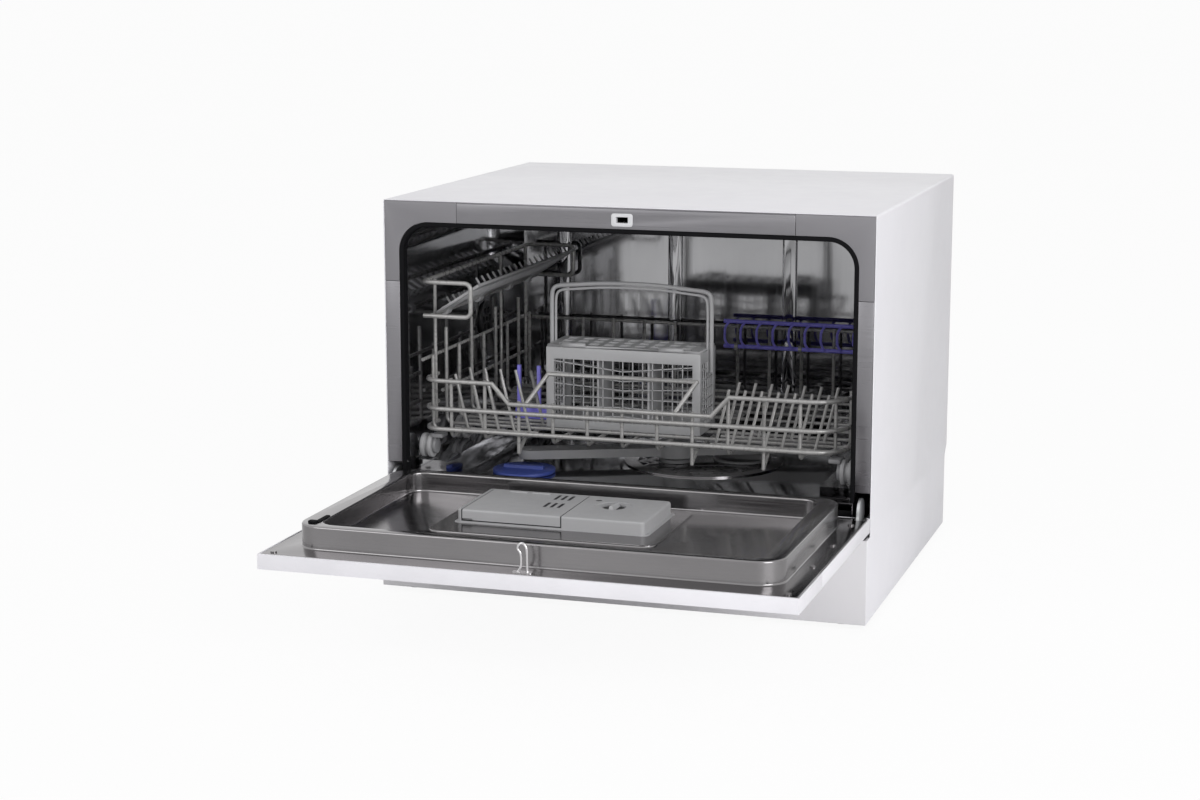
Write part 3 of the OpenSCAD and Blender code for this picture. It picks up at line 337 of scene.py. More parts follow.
def plasticFinish(name, colour, rough=0.45, grain=1500, depth=0.00005, gloss=0.5):
    material, tree, shader = newMaterial(name)
    cloud = noise(tree, scale=18, detail=4)
    wear = noise(tree, scale=120, detail=4)
    tree.links.new(tint(tree, cloud, shade(colour, 0.94), shade(colour, 1.03)), shader.inputs["Base Color"])
    tree.links.new(spread(tree, wear, rough - 0.06, rough + 0.08), shader.inputs["Roughness"])
    shader.inputs["Specular IOR Level"].default_value = gloss
    bump(tree, shader, [(noise(tree, scale=grain, detail=2), 0.25, depth)])
    return material


def wireFinish(name, colour):  # nylon-dipped wire
    material, tree, shader = newMaterial(name)
    cloud = noise(tree, scale=40, detail=4)
    wear = noise(tree, scale=160, detail=3)
    runs = noise(tree, scale=260, detail=2)
    tree.links.new(tint(tree, cloud, shade(colour, 0.9), shade(colour, 1.05)), shader.inputs["Base Color"])
    tree.links.new(spread(tree, wear, 0.22, 0.36), shader.inputs["Roughness"])
    shader.inputs["Metallic"].default_value = 0.2
    shader.inputs["Coat Weight"].default_value = 0.6
    shader.inputs["Coat Roughness"].default_value = 0.12
    bump(tree, shader, [(runs, 0.2, 0.0001)])
    return material


finishes = {
    "white_enamel": paintFinish("whiteEnamel", (0.80, 0.79, 0.83)),
    "grey_enamel": paintFinish("plinthEnamel", (0.72, 0.71, 0.73), rough=0.4, coat=0.1),
    "frame_grey": paintFinish("frameGrey", (0.21, 0.205, 0.22), rough=0.38, coat=0.2),
    "zinc_sheet": steelFinish("zincSheet", (0.55, 0.56, 0.57), 0.45, (1, 1, 1), anisotropy=0, stain=0.025),
    "stainless": steelFinish("brushedStainless", (0.265, 0.257, 0.262), 0.16, (1, 50, 50), 0.0001, 0.35),
    # a brighter copy of the stainless, for the latch wire: painted highlight
    "highlit_wire": steelFinish("highlitWire", (0.66, 0.65, 0.66), 0.14, (30, 30, 1), anisotropy=0.1),
    "satin_steel": steelFinish("satinStainless", (0.26, 0.255, 0.27), 0.34, (1, 70, 70), 0.00005, 0.4),
    "tub_steel": steelFinish("pressedStainless", (0.37, 0.37, 0.38), 0.075, (30, 30, 1), 0.0005, 0.15),
    "coated_wire": wireFinish("coatedWire", (0.36, 0.355, 0.35)),
    "white_plastic": plasticFinish("panelWhite", (0.80, 0.79, 0.83), rough=0.34, grain=300, depth=0.00001),
    "socket_plastic": plasticFinish("socketWhite", (0.66, 0.66, 0.68), rough=0.4),
    "grey_plastic": plasticFinish("mouldedGrey", (0.27, 0.27, 0.28), rough=0.42),
    "light_grey_plastic": plasticFinish("lightMouldedGrey", (0.42, 0.42, 0.43), rough=0.42),
    # the dark moulding of the latch switch, also worn by the pieces of painted shade on the dispenser
    "dark_plastic": plasticFinish("darkMouldingAndPaintedShade", (0.02, 0.02, 0.022), rough=0.4),
    "violet_plastic": plasticFinish("violetMoulding", (0.29, 0.26, 0.93), rough=0.3),
    "blue_plastic": plasticFinish("blueCap", (0.05, 0.08, 0.33), rough=0.4),
    "ivory_plastic": plasticFinish("ivoryMoulding", (0.66, 0.64, 0.57), rough=0.5),
    "tray_plastic": plasticFinish("trayMoulding", (0.07, 0.07, 0.075), rough=0.55),
    "black_rubber": plasticFinish("blackRubber", (0.008, 0.008, 0.009), 0.75, 900, 0.0001, gloss=0.05),
    "window": plasticFinish("darkWindow", (0.012, 0.012, 0.016), rough=0.12, grain=3000, depth=0.000005),
    "board_green": plasticFinish("solderMask", (0.01, 0.12, 0.04), rough=0.35),
}
print("finishes made")

slotOf = {row["node"]: row["material_slot"] for row in frame["record"]["subparts"]}
bodyOf = {node: body for body, nodes in frame["record"]["behaviour"]["bodies"].items() for node in nodes}

# the door's pressed liner: a solid at first, of which only the upper skin is kept and given its thickness
linerPlan = {
    "edgeSide": 273.2, "edgeNear": -6, "edgeFar": -333.2, "flange": 118.5, "depth": 12, "sheet": 0.8,
    "side": 250, "near": -24, "far": -305, "rim": 142.5, "rimEnd": 13, "rimSide": 22, "corner": 28,
    "innerCorner": 18, "floor": 121, "fillet": 3.4,
    "bead": 1.8, "beadFar": -206, "beadNear": -48, "beadLeft": -146, "beadRight": 96, "beadCorner": 14,
    "beadRound": 0.9, "slotLow": 260, "slotHigh": 271.5, "slotFar": -18,
    "rimPast": 2, "hollowPast": 9, "beadPast": 4,  # how far these reach past the faces they meet
}


def pressLiner(plan):
    side, near, far = plan["side"], plan["near"], plan["far"]
    flange, rim, floor = plan["flange"], plan["rim"], plan["floor"]
    below = flange - plan["depth"]
    piece = block("door_liner_pressed", (-plan["edgeSide"], plan["edgeFar"], below),
                  (plan["edgeSide"], plan["edgeNear"], flange))
    fuse(piece, roundedBlock("rim", (-side, far, below - plan["rimPast"]), (side, near, rim), plan["corner"]))
    inside = side - plan["rimSide"]
    cut(piece, roundedBlock("hollow", (-inside, far + plan["rimEnd"], floor),
                            (inside, near - plan["rimEnd"], rim + plan["hollowPast"]), plan["innerCorner"]))
    beadTop = floor + plan["bead"]
    fuse(piece, roundedBlock("bead", (plan["beadLeft"], plan["beadFar"], floor - plan["beadPast"]),
                             (plan["beadRight"], plan["beadNear"], beadTop), plan["beadCorner"]))
    tidyFaces(piece)
    levels = [edgesAt(2, height / 1000) for height in (rim, flange, floor)]
    easeEdges(piece, plan["fillet"], 4, lambda a, b: any(level(a, b) for level in levels))
    easeEdges(piece, plan["bead"] * plan["beadRound"], 3, edgesAt(2, beadTop / 1000))
    dropFaces(piece, lambda centre, normal: centre.z < (flange - plan["sheet"] / 2) / 1000)
    useModifier(piece, "SOLIDIFY", thickness=plan["sheet"] / 1000, offset=-1)
    for hand in (-1, 1):  # the slots that the hinge levers come through
        left, right = sorted((hand * plan["slotLow"], hand * plan["slotHigh"]))
        cut(piece, block("slot", (left, plan["slotFar"], flange - past),
                         (right, plan["edgeNear"] + past, flange + past)))
    smooth(piece)
    return piece


dress(pressLiner(linerPlan), "door", "stainless", "door_liner")
print("door liner pressed")

# the tub, from the shape of the room inside it; its front stands out by the spare length until it is opened
tubPlan = {
    "side": 254, "top": 411, "back": 404, "near": 2.2, "spare": 40, "sheet": 1, "mouthCorner": 30,
    "lowerCorner": 8, "lowerRise": 80, "ledge": 142.5, "ledgeStart": 25, "ledgeWidth": 40, "floor": 116,
    "sunkCorner": 22, "sunkRise": 20, "sillRise": 10, "sillPast": 10, "fold": 5,
    "backEdge": 17, "cornerReach": 12, "ribs": (-200, -55, 90), "rib": 4, "ribWidth": 18, "ribLow": 24,
    "ribHigh": 18, "ribCorner": 8, "ribEdge": 2.5,
    "well": (30, 230, 88), "salt": (-152, 112, 32), "grille": (260, 268, 18), "punch": 20,
    "flangeSide": 273.4, "flangeLow": 144, "flangeTop": 436.4, "latchSlot": (8, 419.5, 428.5),
}


def tubRoom(plan, ahead):
    side, back, ledge = plan["side"], plan["back"], plan["ledge"]
    piece = roundedBlock("tub_pressed", (-side, ahead, ledge), (side, back, plan["top"]),
                         plan["mouthCorner"], axis=1, segments=10)
    fuse(piece, roundedBlock("lower", (-side, ahead, ledge), (side, back, ledge + plan["lowerRise"]),
                             plan["lowerCorner"], axis=1, segments=4))
    return piece


def pressTub(plan):
    side, back, near = plan["side"], plan["back"], plan["near"]
    top, ledge, floor = plan["top"], plan["ledge"], plan["floor"]
    ahead = near - plan["spare"]
    inner = side - plan["ledgeWidth"]
    piece = tubRoom(plan, ahead)
    fuse(piece, roundedBlock("sunk", (-inner, ahead, floor), (inner, back, ledge + plan["sunkRise"]),
                             plan["sunkCorner"], segments=6))
    fuse(piece, block("sill", (-side, ahead - plan["sillPast"], floor),
                      (side, plan["ledgeStart"], ledge + plan["sillRise"])))
    ribFace = back - plan["rib"]
    for x in plan["ribs"]:
        left, right = x - plan["ribWidth"] / 2, x + plan["ribWidth"] / 2
        cut(piece, roundedBlock("rib", (left, ribFace, ledge + plan["ribLow"]),
                                (right, back + past, top - plan["ribHigh"]),
                                plan["ribCorner"], axis=1, segments=5))
    tidyFaces(piece)

    atBack, atRib = edgesAt(1, at(0, back, 0).y), edgesAt(1, at(0, ribFace, 0).y)
    high, wide = (top - plan["cornerReach"]) / 1000, (side - plan["cornerReach"]) / 1000
    low = (ledge + margin) / 1000

    def roundTheBack(a, b):
        return atBack(a, b) and (min(a.z, b.z) > high or min(abs(a.x), abs(b.x)) > wide or max(a.z, b.z) < low)

    def underTheLedges(a, b):
        return max(a.z, b.z) < low and max(abs(a.x), abs(b.x)) < (inner + 1) / 1000

    easeEdges(piece, plan["backEdge"], 5, roundTheBack, sharpness=30)
    easeEdges(piece, plan["ribEdge"], 2, atRib)
    easeEdges(piece, plan["fold"], 3, underTheLedges)

    for name in ("well", "salt"):  # round holes: a stub is joined on, and then its part outside is dropped
        x, y, radius = plan[name]
        fuse(piece, disc(name, x, y, floor, plan["punch"], radius))
    y, z, radius = plan["grille"]
    fuse(piece, disc("grille", -side, y, z, plan["punch"], radius, alongX=True))
    dropFaces(piece, lambda centre, normal: centre.z < (floor - hair) / 1000
              or centre.x < (-side - hair) / 1000)
    editAll(piece)
    bpy.ops.mesh.bisect(plane_co=at(0, near, 0), plane_no=(0, 1, 0), clear_inner=True, use_fill=False)
    objectMode()
    useModifier(piece, "SOLIDIFY", thickness=plan["sheet"] / 1000, offset=1)

    flange = block("flange", (-plan["flangeSide"], near, plan["flangeLow"]),
                   (plan["flangeSide"], near + plan["sheet"], plan["flangeTop"]))
    cut(flange, tubRoom(plan, ahead))
    latchX, latchLow, latchHigh = plan["latchSlot"]
    cut(flange, block("latch_slot", (-latchX, near - past, latchLow), (latchX, near + past, latchHigh)))
    joinInto(piece, flange)
    smooth(piece)
    return piece


tubNodes = sorted(name for name in frame["nodes"] if name.startswith("tub"))
dress(pressTub(tubPlan), "cabinet", "tub_steel", *tubNodes)
print("tub pressed")

# the detergent dispenser: its case, its sliding lid and the rinse-aid knob
dispenserPlan = {
    "left": -127.5, "right": 75.5, "far": -167.4, "near": -66, "floor": 121.1, "top": 137, "corner": 5,
    "edge": 2.4, "lip": 4, "lipFar": -169, "lipHeight": 2, "lipCorner": 7,
    "chamber": ((-107.5, -155), (-22, -76)), "chamberFloor": 2, "chamberCorner": 5,
    "lidLeft": -121.5, "lidRight": -14.5, "lidNear": -72, "lidThick": 3, "lidPlay": 0.3, "endPlay": 1,
    "skirt": 11, "skirtThick": 2, "skirtPlay": 0.2, "lap": 1, "gap": 1.3, "notch": (11, 1.6),
    "slots": ((-46, -97), (-46, -132)), "slotCount": 3, "slotStep": 7.6, "slotSize": (3.6, 21),
    "slotCorner": 1.2, "slotDepth": 0.9, "slotShadePlay": 0.1, "slotShadeThick": 0.7,
    "tabs": (-92, -66), "tabSize": (20, 5, 0.9), "tabEdge": 0.35,
    "gapShadePlay": 0.06, "gapShadeSunk": 0.2, "gapShadeEnd": 0.9, "gapShadeFoot": 1.4, "gapShadeDepth": 3.2,
    "knob": (24.75, -107.6), "knobRadius": 12.4, "knobSunk": 4.5, "knobThick": 1.8, "knobEdge": 0.5,
    "grip": (3.4, 11.6), "gripLow": 1, "gripTop": 7.2, "gripTaper": (0.45, 0.9, 1),
    "dish": (20, 0.5), "pocket": (13, 4.7), "shadeSunk": 2.6, "shadeThick": 0.3,
    "window": (1.5, -86, 4), "windowDepth": 1.2, "glassSunk": 0.8, "glassThick": 0.7, "glassEdge": 0.4,
    "glassPlay": 0.2,
}


def dispenserCase(plan):
    top, floor, far, near = plan["top"], plan["floor"], plan["far"], plan["near"]
    piece = roundedBlock("dispenser_case", (plan["left"], far, floor), (plan["right"], near, top),
                         plan["corner"], segments=5)
    easeEdges(piece, plan["edge"], 4, edgesAt(2, top / 1000))
    fuse(piece, roundedBlock("lip", (plan["left"] - plan["lip"], plan["lipFar"], floor),
                             (plan["right"] + plan["lip"], near + plan["lip"], floor + plan["lipHeight"]),
                             plan["lipCorner"], segments=5))
    left, right = plan["lidLeft"] - plan["gap"], plan["lidRight"] + plan["gap"]
    cut(piece, block("seat", (left, far - past, top - plan["lidThick"] - plan["lidPlay"]),
                     (right, plan["lidNear"] + plan["endPlay"], top + past)))
    cut(piece, block("skirt_seat", (left, far - past, top - plan["skirt"] - plan["gap"]),
                     (right, far + plan["skirtThick"] + plan["skirtPlay"], top + past)))
    chamberLow, chamberHigh = plan["chamber"]
    cut(piece, roundedBlock("chamber", (*chamberLow, floor + plan["chamberFloor"]),
                            (*chamberHigh, top + past), plan["chamberCorner"], segments=4))
    for radius, depth in (plan["dish"], plan["pocket"]):
        sink(piece, *plan["knob"], top, depth, radius)
    x, y, radius = plan["window"]
    sink(piece, x, y, top, plan["windowDepth"], radius, sides=40)
    tidyFaces(piece)
    smooth(piece)
    return piece


def slotPlaces(plan):
    return [(x + i * plan["slotStep"], y) for x, y in plan["slots"] for i in range(plan["slotCount"])]


def dispenserLid(plan):
    top, far, left, right = plan["top"], plan["far"], plan["lidLeft"], plan["lidRight"]
    foot = top - plan["skirt"]
    piece = block("dispenser_lid_moulded", (left, far, top - plan["lidThick"]), (right, plan["lidNear"], top))
    fuse(piece, block("skirt", (left, far, foot), (right, far + plan["skirtThick"], top - plan["lap"])))
    tidyFaces(piece)
    atTop, atFace = edgesAt(2, top / 1000), edgesAt(1, at(0, far, 0).y)
    selectEdges(piece, lambda a, b: atTop(a, b) and atFace(a, b))
    bevelSelected(plan["edge"], 5)
    notchWidth, notchHeight = plan["notch"]
    cut(piece, block("notch", (left - past, far - past, foot - past),
                     (left + notchWidth, far + past, foot + notchHeight)))
    width, length = plan["slotSize"]
    for x, y in slotPlaces(plan):
        cut(piece, roundedBlock("slot", (x, y, top - plan["slotDepth"]), (x + width, y + length, top + past),
                                plan["slotCorner"], segments=3))
    tabWidth, tabLength, tabRise = plan["tabSize"]
    for x in plan["tabs"]:  # low grips along the back edge
        fuse(piece, block("tab", (x - tabWidth / 2, plan["lidNear"] - tabLength, top - plan["lap"]),
                          (x + tabWidth / 2, plan["lidNear"], top + tabRise)))
    tidyFaces(piece)
    easeEdges(piece, plan["tabEdge"], 2, lambda a, b: min(a.z, b.z) > (top + tabRise - margin) / 1000)
    smooth(piece)
    return piece


def lidSlotShade(plan):  # dark strips in the lid's slots, just below its top: painted shade in the slots
    width, length = plan["slotSize"]
    play = plan["slotShadePlay"]
    low = plan["top"] - plan["slotDepth"] + play
    strips = [roundedBlock("lid_slot_shade", (x + play, y + play, low),
                           (x + width - play, y + length - play, low + plan["slotShadeThick"]),
                           plan["slotCorner"] - play, segments=3)
              for x, y in slotPlaces(plan)]
    joinInto(*strips)
    return strips[0]


def lidGapShade(plan):  # dark strips in the gap round the lid, against the case and clear of the lid: painted shade in the gap
    play = plan["gapShadePlay"]
    width = plan["gap"] - play
    left, right = plan["lidLeft"] - play, plan["lidRight"] + play
    face, end = plan["far"] + plan["gapShadeSunk"], plan["lidNear"] + plan["gapShadeEnd"]
    foot, top = plan["top"] - plan["skirt"] - plan["gap"], plan["top"] - plan["gapShadeSunk"]
    piece = block("lid_gap_shade", (right, face, foot + play), (right + width, end, top))
    joinInto(piece, block("gap_shade", (left - width, face, foot + play), (left, end, top)),
             block("gap_shade", (left, face, foot + play),
                   (right, face + plan["gapShadeFoot"], foot + plan["gap"] - play)),
             block("gap_shade", (left, plan["lidNear"] + play, plan["top"] - plan["gapShadeDepth"]), (right, end, top)))
    return piece


def rinseKnob(plan):
    x, y = plan["knob"]
    low = plan["top"] - plan["knobSunk"]
    ridge = low + plan["gripTop"]
    piece = disc("rinse_knob_moulded", x, y, low + plan["knobThick"] / 2, plan["knobThick"],
                 plan["knobRadius"], sides=64)
    gripX, gripY = plan["grip"]
    grip = block("grip", (x - gripX, y - gripY, low + plan["gripLow"]), (x + gripX, y + gripY, ridge))
    selectFaces(grip, lambda centre, normal: normal.z > 0.9)
    bpy.ops.transform.resize(value=plan["gripTaper"], center_override=at(x, y, ridge))
    objectMode()
    fuse(piece, grip)
    tidyFaces(piece)
    easeEdges(piece, plan["knobEdge"], 3, lambda a, b: min(a.z, b.z) > (ridge - 1) / 1000)
    smooth(piece)
    return piece


def knobShade(plan):  # a dark disc over the knob's face, round its grip: painted shade in the knob's pocket
    piece = disc("knob_shade", *plan["knob"], plan["top"] - plan["shadeSunk"], plan["shadeThick"],
                 plan["knobRadius"] - plan["shadeThick"], sides=64)
    smooth(piece)
    return piece


def rinseWindow(plan):
    x, y, radius = plan["window"]
    middle = plan["top"] - plan["glassSunk"]
    piece = disc("rinse_window", x, y, middle, plan["glassThick"], radius - plan["glassPlay"], sides=40)
    easeEdges(piece, plan["glassEdge"], 2, lambda a, b: min(a.z, b.z) > middle / 1000)
    smooth(piece)
    return piece


dress(dispenserCase(dispenserPlan), "door", "grey_plastic", "dispenser_body", finish="light_grey_plastic")
dress(dispenserLid(dispenserPlan), "dispenser_lid", "light_grey_plastic", "dispenser_lid")
dress(rinseKnob(dispenserPlan), "rinse_knob", "grey_plastic", "rinse_knob", finish="light_grey_plastic")
# dark pieces of painted shade: in the lid's slots, in the gap round the lid and on the knob's face round its
# grip
dress(lidSlotShade(dispenserPlan), "dispenser_lid", "dark_plastic")
dress(lidGapShade(dispenserPlan), "door", "dark_plastic")
dress(knobShade(dispenserPlan), "rinse_knob", "dark_plastic")
dress(rinseWindow(dispenserPlan), "door", "window")
print("dispenser moulded")


def bentWire(name, points, radius, resolution=8, sides=4):
    curve = bpy.data.curves.new(name, "CURVE")
    curve.dimensions = "3D"
    curve.bevel_depth = radius / 1000
    curve.bevel_resolution = sides
    curve.resolution_u = resolution
    curve.use_fill_caps = True
    spline = curve.splines.new("NURBS")
    spline.points.add(len(points) - 1)
    for point, place in zip(spline.points, points):
        point.co = (*at(*place), 1)
    spline.use_endpoint_u = True
    spline.order_u = 3
    piece = bpy.data.objects.new(name, curve)
    bpy.context.scene.collection.objects.link(piece)
    pickOnly(piece)
    bpy.ops.object.convert(target="MESH")
    piece = bpy.context.object
    smooth(piece, 60)
    return piece


# the door's latch: one wire bent into a bow, with a curl on its left, seen from the front as (x, z)
latchPlan = {
    "y": -324, "radius": 1.35,
    "points": ((4.9, 119), (4.9, 126), (4.8, 138), (3.8, 144.4), (0.8, 147.8), (-2.4, 147), (-4.9, 143.6),
               (-4.6, 140.6), (-2.4, 139), (-1.2, 133), (-1.2, 126), (-2.6, 122), (-4.9, 119)),
    "footSide": 10, "footReach": 4, "footLow": 118.6, "footHigh": 119.4, "footCorner": 2,
}


def bendLatch(plan):
    side, y, reach = plan["footSide"], plan["y"], plan["footReach"]
    piece = bentWire("latch_hook_bent", [(x, y, z) for x, z in plan["points"]], plan["radius"])
    joinInto(piece, roundedBlock("latch_foot", (-side, y - reach, plan["footLow"]),
                                 (side, y + reach, plan["footHigh"]), plan["footCorner"], segments=4))
    return piece


# the latch wire wears the brighter copy of the stainless: painted highlight
dress(bendLatch(latchPlan), "door", "stainless", "latch_hook", finish="highlit_wire")
print("latch bent")

# the rubber strap on the liner's left rim
strapPlan = {
    "low": (-234, -287, 142.4), "high": (-229.4, -258, 143.6), "corner": 1.6,
    "footLow": (-240, -292, 142.4), "footHigh": (-231, -284, 144.4), "footCorner": 2.4,
}
strap = roundedBlock("rubber_strap", strapPlan["low"], strapPlan["high"], strapPlan["corner"], segments=4)
fuse(strap, roundedBlock("strap_foot", strapPlan["footLow"], strapPlan["footHigh"], strapPlan["footCorner"],
                         segments=4))
smooth(strap)
dress(strap, "door", "black_rubber", "liner_clip")

# the basket's bow: a thick outer rib and a thin inner one; its shoulder is given as (inwards, down) steps
handlePlan = {"outer": 2.5, "inner": 1.5, "between": 4.7, "footRise": 30,
              "shoulder": ((0, 44), (0, 20), (1, 9), (7, 5), (20, 4)), "crown": 30}


def bowPoints(plan, low, high, inset):
    left, right = low[0] + inset, high[0] - inset
    foot, top = low[2], high[2] - inset
    middle, y = (left + right) / 2, (low[1] + high[1]) / 2
    half = [(left, foot), (left, foot + plan["footRise"])]
    half += [(left + inwards, top - down) for inwards, down in plan["shoulder"]]
    half.append((middle - plan["crown"], top))
    mirrored = [(2 * middle - x, z) for x, z in reversed(half)]
    return [(x, y, z) for x, z in half + mirrored]


def bendHandle(plan, low, high):
    outer, inner = plan["outer"], plan["inner"]
    piece = bentWire("handle_outer", bowPoints(plan, low, high, outer), outer)
    joinInto(piece, bentWire("handle_inner", bowPoints(plan, low, high, outer + plan["between"]), inner))
    return piece


handleLow, handleHigh = (measured(corner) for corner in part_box("basket_handle"))
handle = bendHandle(handlePlan, handleLow, handleHigh)
dress(handle, "cutlery_basket", "light_grey_plastic", "basket_handle")
print("handle bent")

# the cutlery basket: three cells in a frame whose windows hold a thin lattice
basketPlan = {
    "cells": 3, "wall": 2.4, "post": 9, "sidePost": 8, "rim": 13, "base": 9, "edge": 0.5, "through": 0.1,
    "columns": 14, "sideColumns": 5, "bar": 1.1, "barDepth": 1.5, "tuck": 1,
    "dips": (9, 8, 5, 0, -3, -6), "firstDip": 0.6,
}


def slantedBar(start, end, y, thickness, depth):  # start and end are (x, z)
    run, rise = end[0] - start[0], end[1] - start[1]
    length = math.hypot(run, rise) + thickness
    bpy.ops.object.select_all(action="DESELECT")
    bpy.ops.mesh.primitive_cube_add(size=1, location=at((start[0] + end[0]) / 2, y, (start[1] + end[1]) / 2),
                                    rotation=(0, -math.atan2(rise, run), 0))
    bar = bpy.context.object
    bar.scale = (length / 1000, depth / 1000, thickness / 1000)
    seat(bar)
    return bar


def mouldBasket(plan, low, high):
    piece = block("cutlery_basket_moulded", low, high)
    wall, through = plan["wall"], plan["through"]
    cellWidth = (high[0] - low[0] - (plan["cells"] + 1) * wall) / plan["cells"]
    for i in range(plan["cells"]):
        x = low[0] + wall + i * (cellWidth + wall)
        cut(piece, block("cell", (x, low[1] + wall, low[2] + wall),
                         (x + cellWidth, high[1] - wall, high[2] + past)))
    floor, ceiling = low[2] + plan["base"], high[2] - plan["rim"]
    left, right = low[0] + plan["post"], high[0] - plan["post"]
    near, far = low[1] + plan["sidePost"], high[1] - plan["sidePost"]
    span = past + wall + through
    for y in (low[1] - past, high[1] - wall - through):
        cut(piece, block("window", (left, y, floor), (right, y + span, ceiling)))
    for x in (low[0] - past, high[0] - wall - through):
        cut(piece, block("window", (x, near, floor), (x + span, far, ceiling)))
    tidyFaces(piece)
    easeEdges(piece, plan["edge"], 2, lambda a, b: True)

    bars = []
    thin, deep, tuck = plan["bar"] / 2, plan["barDepth"] / 2, plan["tuck"]
    middle = (left + right) / 2
    rowStep = (ceiling - floor) / len(plan["dips"])
    rows = [(ceiling - (i + plan["firstDip"]) * rowStep, dip / 2) for i, dip in enumerate(plan["dips"])]
    for y in (low[1] + wall / 2, high[1] - wall / 2):
        for i in range(1, plan["columns"]):
            x = left + i * (right - left) / plan["columns"]
            bars.append(block("bar", (x - thin, y - deep, floor - tuck), (x + thin, y + deep, ceiling + tuck)))
        for z, dip in rows:
            for start, end in (((left - tuck, z + dip), (middle, z - dip)),
                               ((middle, z - dip), (right + tuck, z + dip))):
                bars.append(slantedBar(start, end, y, plan["bar"], plan["barDepth"]))
    for x in (low[0] + wall / 2, high[0] - wall / 2):
        for i in range(1, plan["sideColumns"]):
            y = near + i * (far - near) / plan["sideColumns"]
            bars.append(block("bar", (x - deep, y - thin, floor - tuck), (x + deep, y + thin, ceiling + tuck)))
        for z, _ in rows:
            bars.append(block("bar", (x - deep, near - tuck, z - thin), (x + deep, far + tuck, z + thin)))
    joinInto(piece, *bars)
    smooth(piece)
    return piece


basketLow, basketHigh = (measured(corner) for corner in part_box("cutlery_basket"))
basket = mouldBasket(basketPlan, basketLow, basketHigh)
dress(basket, "cutlery_basket", "light_grey_plastic", "cutlery_basket")
print("basket moulded")

# the folding comb: two rods and a row of hoops that bulge towards the plates
combPlan = {"rod": 2.6, "hoop": 1.6, "inset": 9, "step": 20, "bulge": 7, "reach": 4, "bend": 8, "lean": 3,
            "drop": 1}


def combHoop(plan, x, y, low, high):
    bulge, front, lean = x - plan["bulge"], y - plan["reach"], plan["lean"]
    end = [(x, y, 0), (x - lean, y - lean, plan["drop"]), (bulge, front, plan["bend"])]  # from a rod inwards
    points = [(px, py, high - inwards) for px, py, inwards in end]
    points.append((bulge, front, (high + low) / 2))
    points += [(px, py, low + inwards) for px, py, inwards in reversed(end)]
    return bentWire("comb_hoop", points, plan["hoop"], resolution=5, sides=3)


def bendComb(plan, low, high):
    left, right, y = low[0], high[0], (low[1] + high[1]) / 2
    foot, top = low[2] + plan["rod"], high[2] - plan["rod"]
    along = (left, (left + right) / 2, right)
    piece, *others = [bentWire("comb_rod", [(x, y, z) for x in along], plan["rod"]) for z in (foot, top)]
    x = left + plan["inset"]
    while x < right:
        others.append(combHoop(plan, x, y, foot, top))
        x += plan["step"]
    joinInto(piece, *others)
    piece.name = "comb_hooped"
    return piece


combLow, combHigh = (measured(corner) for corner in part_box("comb_support"))
comb = bendComb(combPlan, combLow, combHigh)
dress(comb, bodyOf["comb_support"], "violet_plastic", "comb_support")
print("comb bent")

# every other CAD piece, merged and smoothed, with the edges of those listed below eased
easedEdges = {  # bevel width in millimetres, and the number of segments
    "outer_cover": (0.9, 3), "kick_panel": (0.7, 2), "base_tray": (0.8, 2), "rubber_feet": (1, 2),
    "frame_corners": (0.5, 2), "frame_top_strip": (0.5, 2), "frame_side_strips": (0.5, 2),
    "door_gasket": (0.9, 3), "latch_socket": (0.3, 2), "door_skin": (0.35, 2), "control_panel": (0.8, 3),
    "grip_cup": (0.6, 2), "display_window": (0.3, 2),
    "power_button": (0.5, 2), "program_button": (0.5, 2), "start_button": (0.5, 2),
    "wheel_brackets": (0.4, 2), "front_wheels": (0.6, 2), "middle_wheels": (0.6, 2), "rear_wheels": (0.6, 2),
    "tine_clip": (0.8, 2), "spray_arm": (1.2, 3), "salt_cap": (0.7, 2), "filter_cup": (0.6, 2),
}
latticed = {"cup_shelf", "basket_lid", "filter_plate", "vent_grille"}  # too finely cut to dissolve or ease
ownShape = {"door_liner", "dispenser_body", "dispenser_lid", "rinse_knob", "latch_hook", "liner_clip",
            "basket_handle", "cutlery_basket", "comb_support", *tubNodes}
otherFinish = {"cup_shelf": "light_grey_plastic", "frame_top_strip": "satin_steel",
               "frame_side_strips": "satin_steel", "latch_switch": "dark_plastic"}


def easedCopy(node):
    source = frame["nodes"][node]
    piece = source.copy()
    piece.data = source.data.copy()
    piece.name = node + "_eased"
    for key in list(piece.keys()):  # the node's own marks don't go with the copy
        del piece[key]
    piece.parent = None
    bpy.context.scene.collection.objects.link(piece)
    tidyFaces(piece, dissolve=node not in latticed)
    if node in easedEdges:
        width, segments = easedEdges[node]
        useModifier(piece, "BEVEL", width=width / 1000, segments=segments, limit_method="ANGLE",
                    angle_limit=math.radians(smoothAngle), use_clamp_overlap=True)
    smooth(piece)
    dress(piece, bodyOf[node], slotOf[node], node, finish=otherFinish.get(node))


for node in sorted(slotOf):
    if node not in ownShape:
        easedCopy(node)
print("CAD pieces eased")


# floor, backdrop and light
def calculate(tree, operation, first, second):  # second may be a socket or a number
    node = tree.nodes.new("ShaderNodeMath")
    node.operation = operation
    tree.links.new(first, node.inputs[0])
    if isinstance(second, float):
        node.inputs[1].default_value = second
    else:
        tree.links.new(second, node.inputs[1])
    return node.outputs["Value"]


def mixShaders(tree, share, first, second, surface):
    node = tree.nodes.new("ShaderNodeMixShader")
    tree.links.new(share, node.inputs["Fac"])
    tree.links.new(first, node.inputs[1])
    tree.links.new(second, node.inputs[2])
    tree.links.new(node.outputs["Shader"], surface)


# the camera sees the floor almost white, with a faint share of its shadows
floorPlan = {"size": 300, "rough": 0.7, "dark": (0.86, 0.86, 0.86), "pale": (0.9, 0.9, 0.9), "glowShare": 0.93}


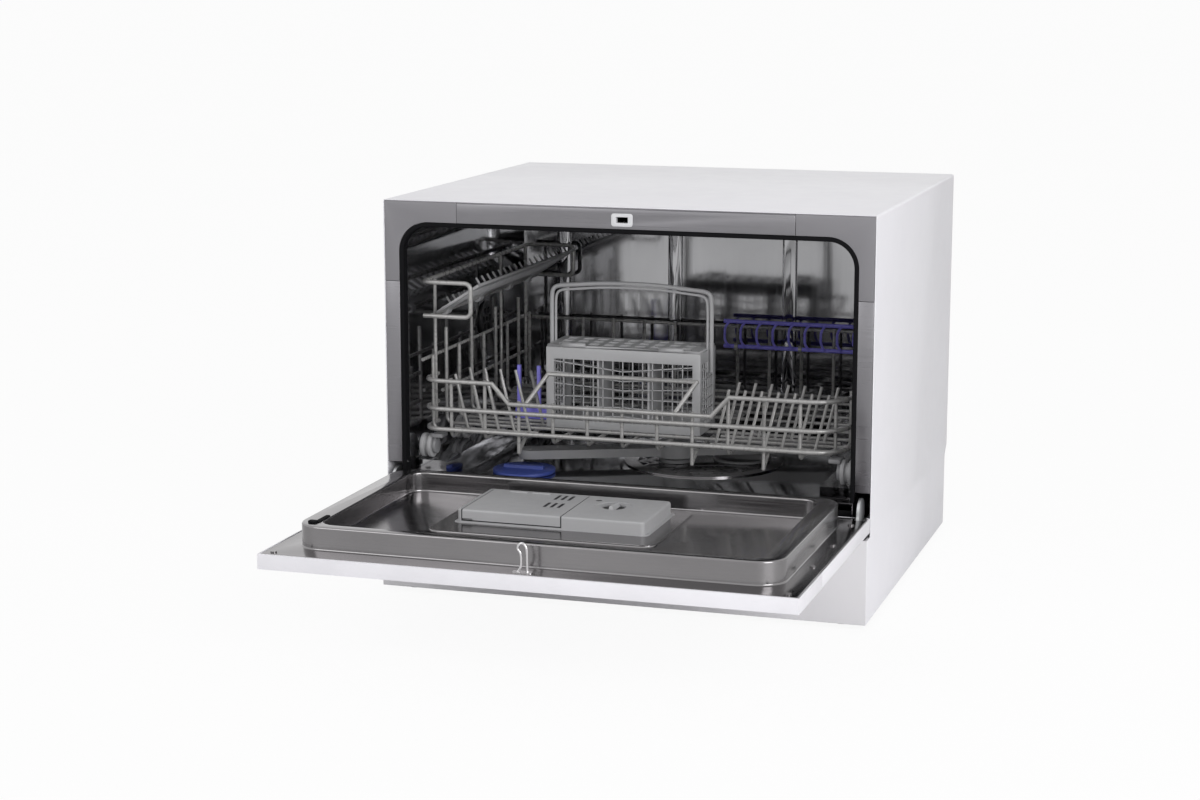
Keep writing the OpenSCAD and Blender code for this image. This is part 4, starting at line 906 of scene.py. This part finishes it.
def layFloor(plan):
    bpy.ops.object.select_all(action="DESELECT")
    bpy.ops.mesh.primitive_plane_add(size=plan["size"], location=(0, 0, 0))
    floor = bpy.context.object
    floor.name = "floor"
    material, tree, shader = newMaterial("paleFloor")
    shader.inputs["Roughness"].default_value = plan["rough"]
    tree.links.new(tint(tree, noise(tree, scale=1.5, detail=2), plan["dark"], plan["pale"]),
                   shader.inputs["Base Color"])
    glow = tree.nodes.new("ShaderNodeEmission")
    glow.inputs["Color"].default_value = (1, 1, 1, 1)
    glow.inputs["Strength"].default_value = 1
    rays = tree.nodes.new("ShaderNodeLightPath")
    share = calculate(tree, "MULTIPLY", rays.outputs["Is Camera Ray"], plan["glowShare"])
    mixShaders(tree, share, shader.outputs["BSDF"], glow.outputs["Emission"],
               tree.nodes["Material Output"].inputs["Surface"])
    floor.data.materials.append(material)
    return floor


floor = layFloor(floorPlan)

# the camera, gloss and glass see a white world, which lights the object less strongly than that
worldPlan = {"seen": 1, "ambient": 0.58}
world = bpy.data.worlds.new("studio")
bpy.context.scene.world = world
world.use_nodes = True
worldTree = world.node_tree
worldTree.nodes.clear()
backgrounds = {}
for use, strength in worldPlan.items():
    background = worldTree.nodes.new("ShaderNodeBackground")
    background.inputs["Color"].default_value = (1, 1, 1, 1)
    background.inputs["Strength"].default_value = strength
    backgrounds[use] = background.outputs["Background"]
rays = worldTree.nodes.new("ShaderNodeLightPath").outputs
seenOrGloss = calculate(worldTree, "MAXIMUM", rays["Is Camera Ray"], rays["Is Glossy Ray"])
withGlass = calculate(worldTree, "MAXIMUM", seenOrGloss, rays["Is Transmission Ray"])
worldOut = worldTree.nodes.new("ShaderNodeOutputWorld")
mixShaders(worldTree, withGlass, backgrounds["ambient"], backgrounds["seen"], worldOut.inputs["Surface"])

lampAim = Vector((0, 0, 0.2))
lampPlan = {
    "key": {"place": (2.5, -2.1, 1.4), "size": 1.8, "power": 54},
    "fill": {"place": (-1.7, -2.6, 1.9), "size": 1.6, "power": 17},
    "top": {"place": (0.2, 0.3, 2.8), "size": 2.2, "power": 1},
}
for name, plan in lampPlan.items():
    lamp = bpy.data.lights.new(name, "AREA")
    lamp.energy = plan["power"]
    lamp.size = plan["size"]
    holder = bpy.data.objects.new(name, lamp)
    holder.location = plan["place"]
    holder.rotation_euler = (lampAim - Vector(plan["place"])).to_track_quat("-Z", "Y").to_euler()
    bpy.context.scene.collection.objects.link(holder)

bpy.context.scene.view_settings.view_transform = "Standard"
print("stage and light set")
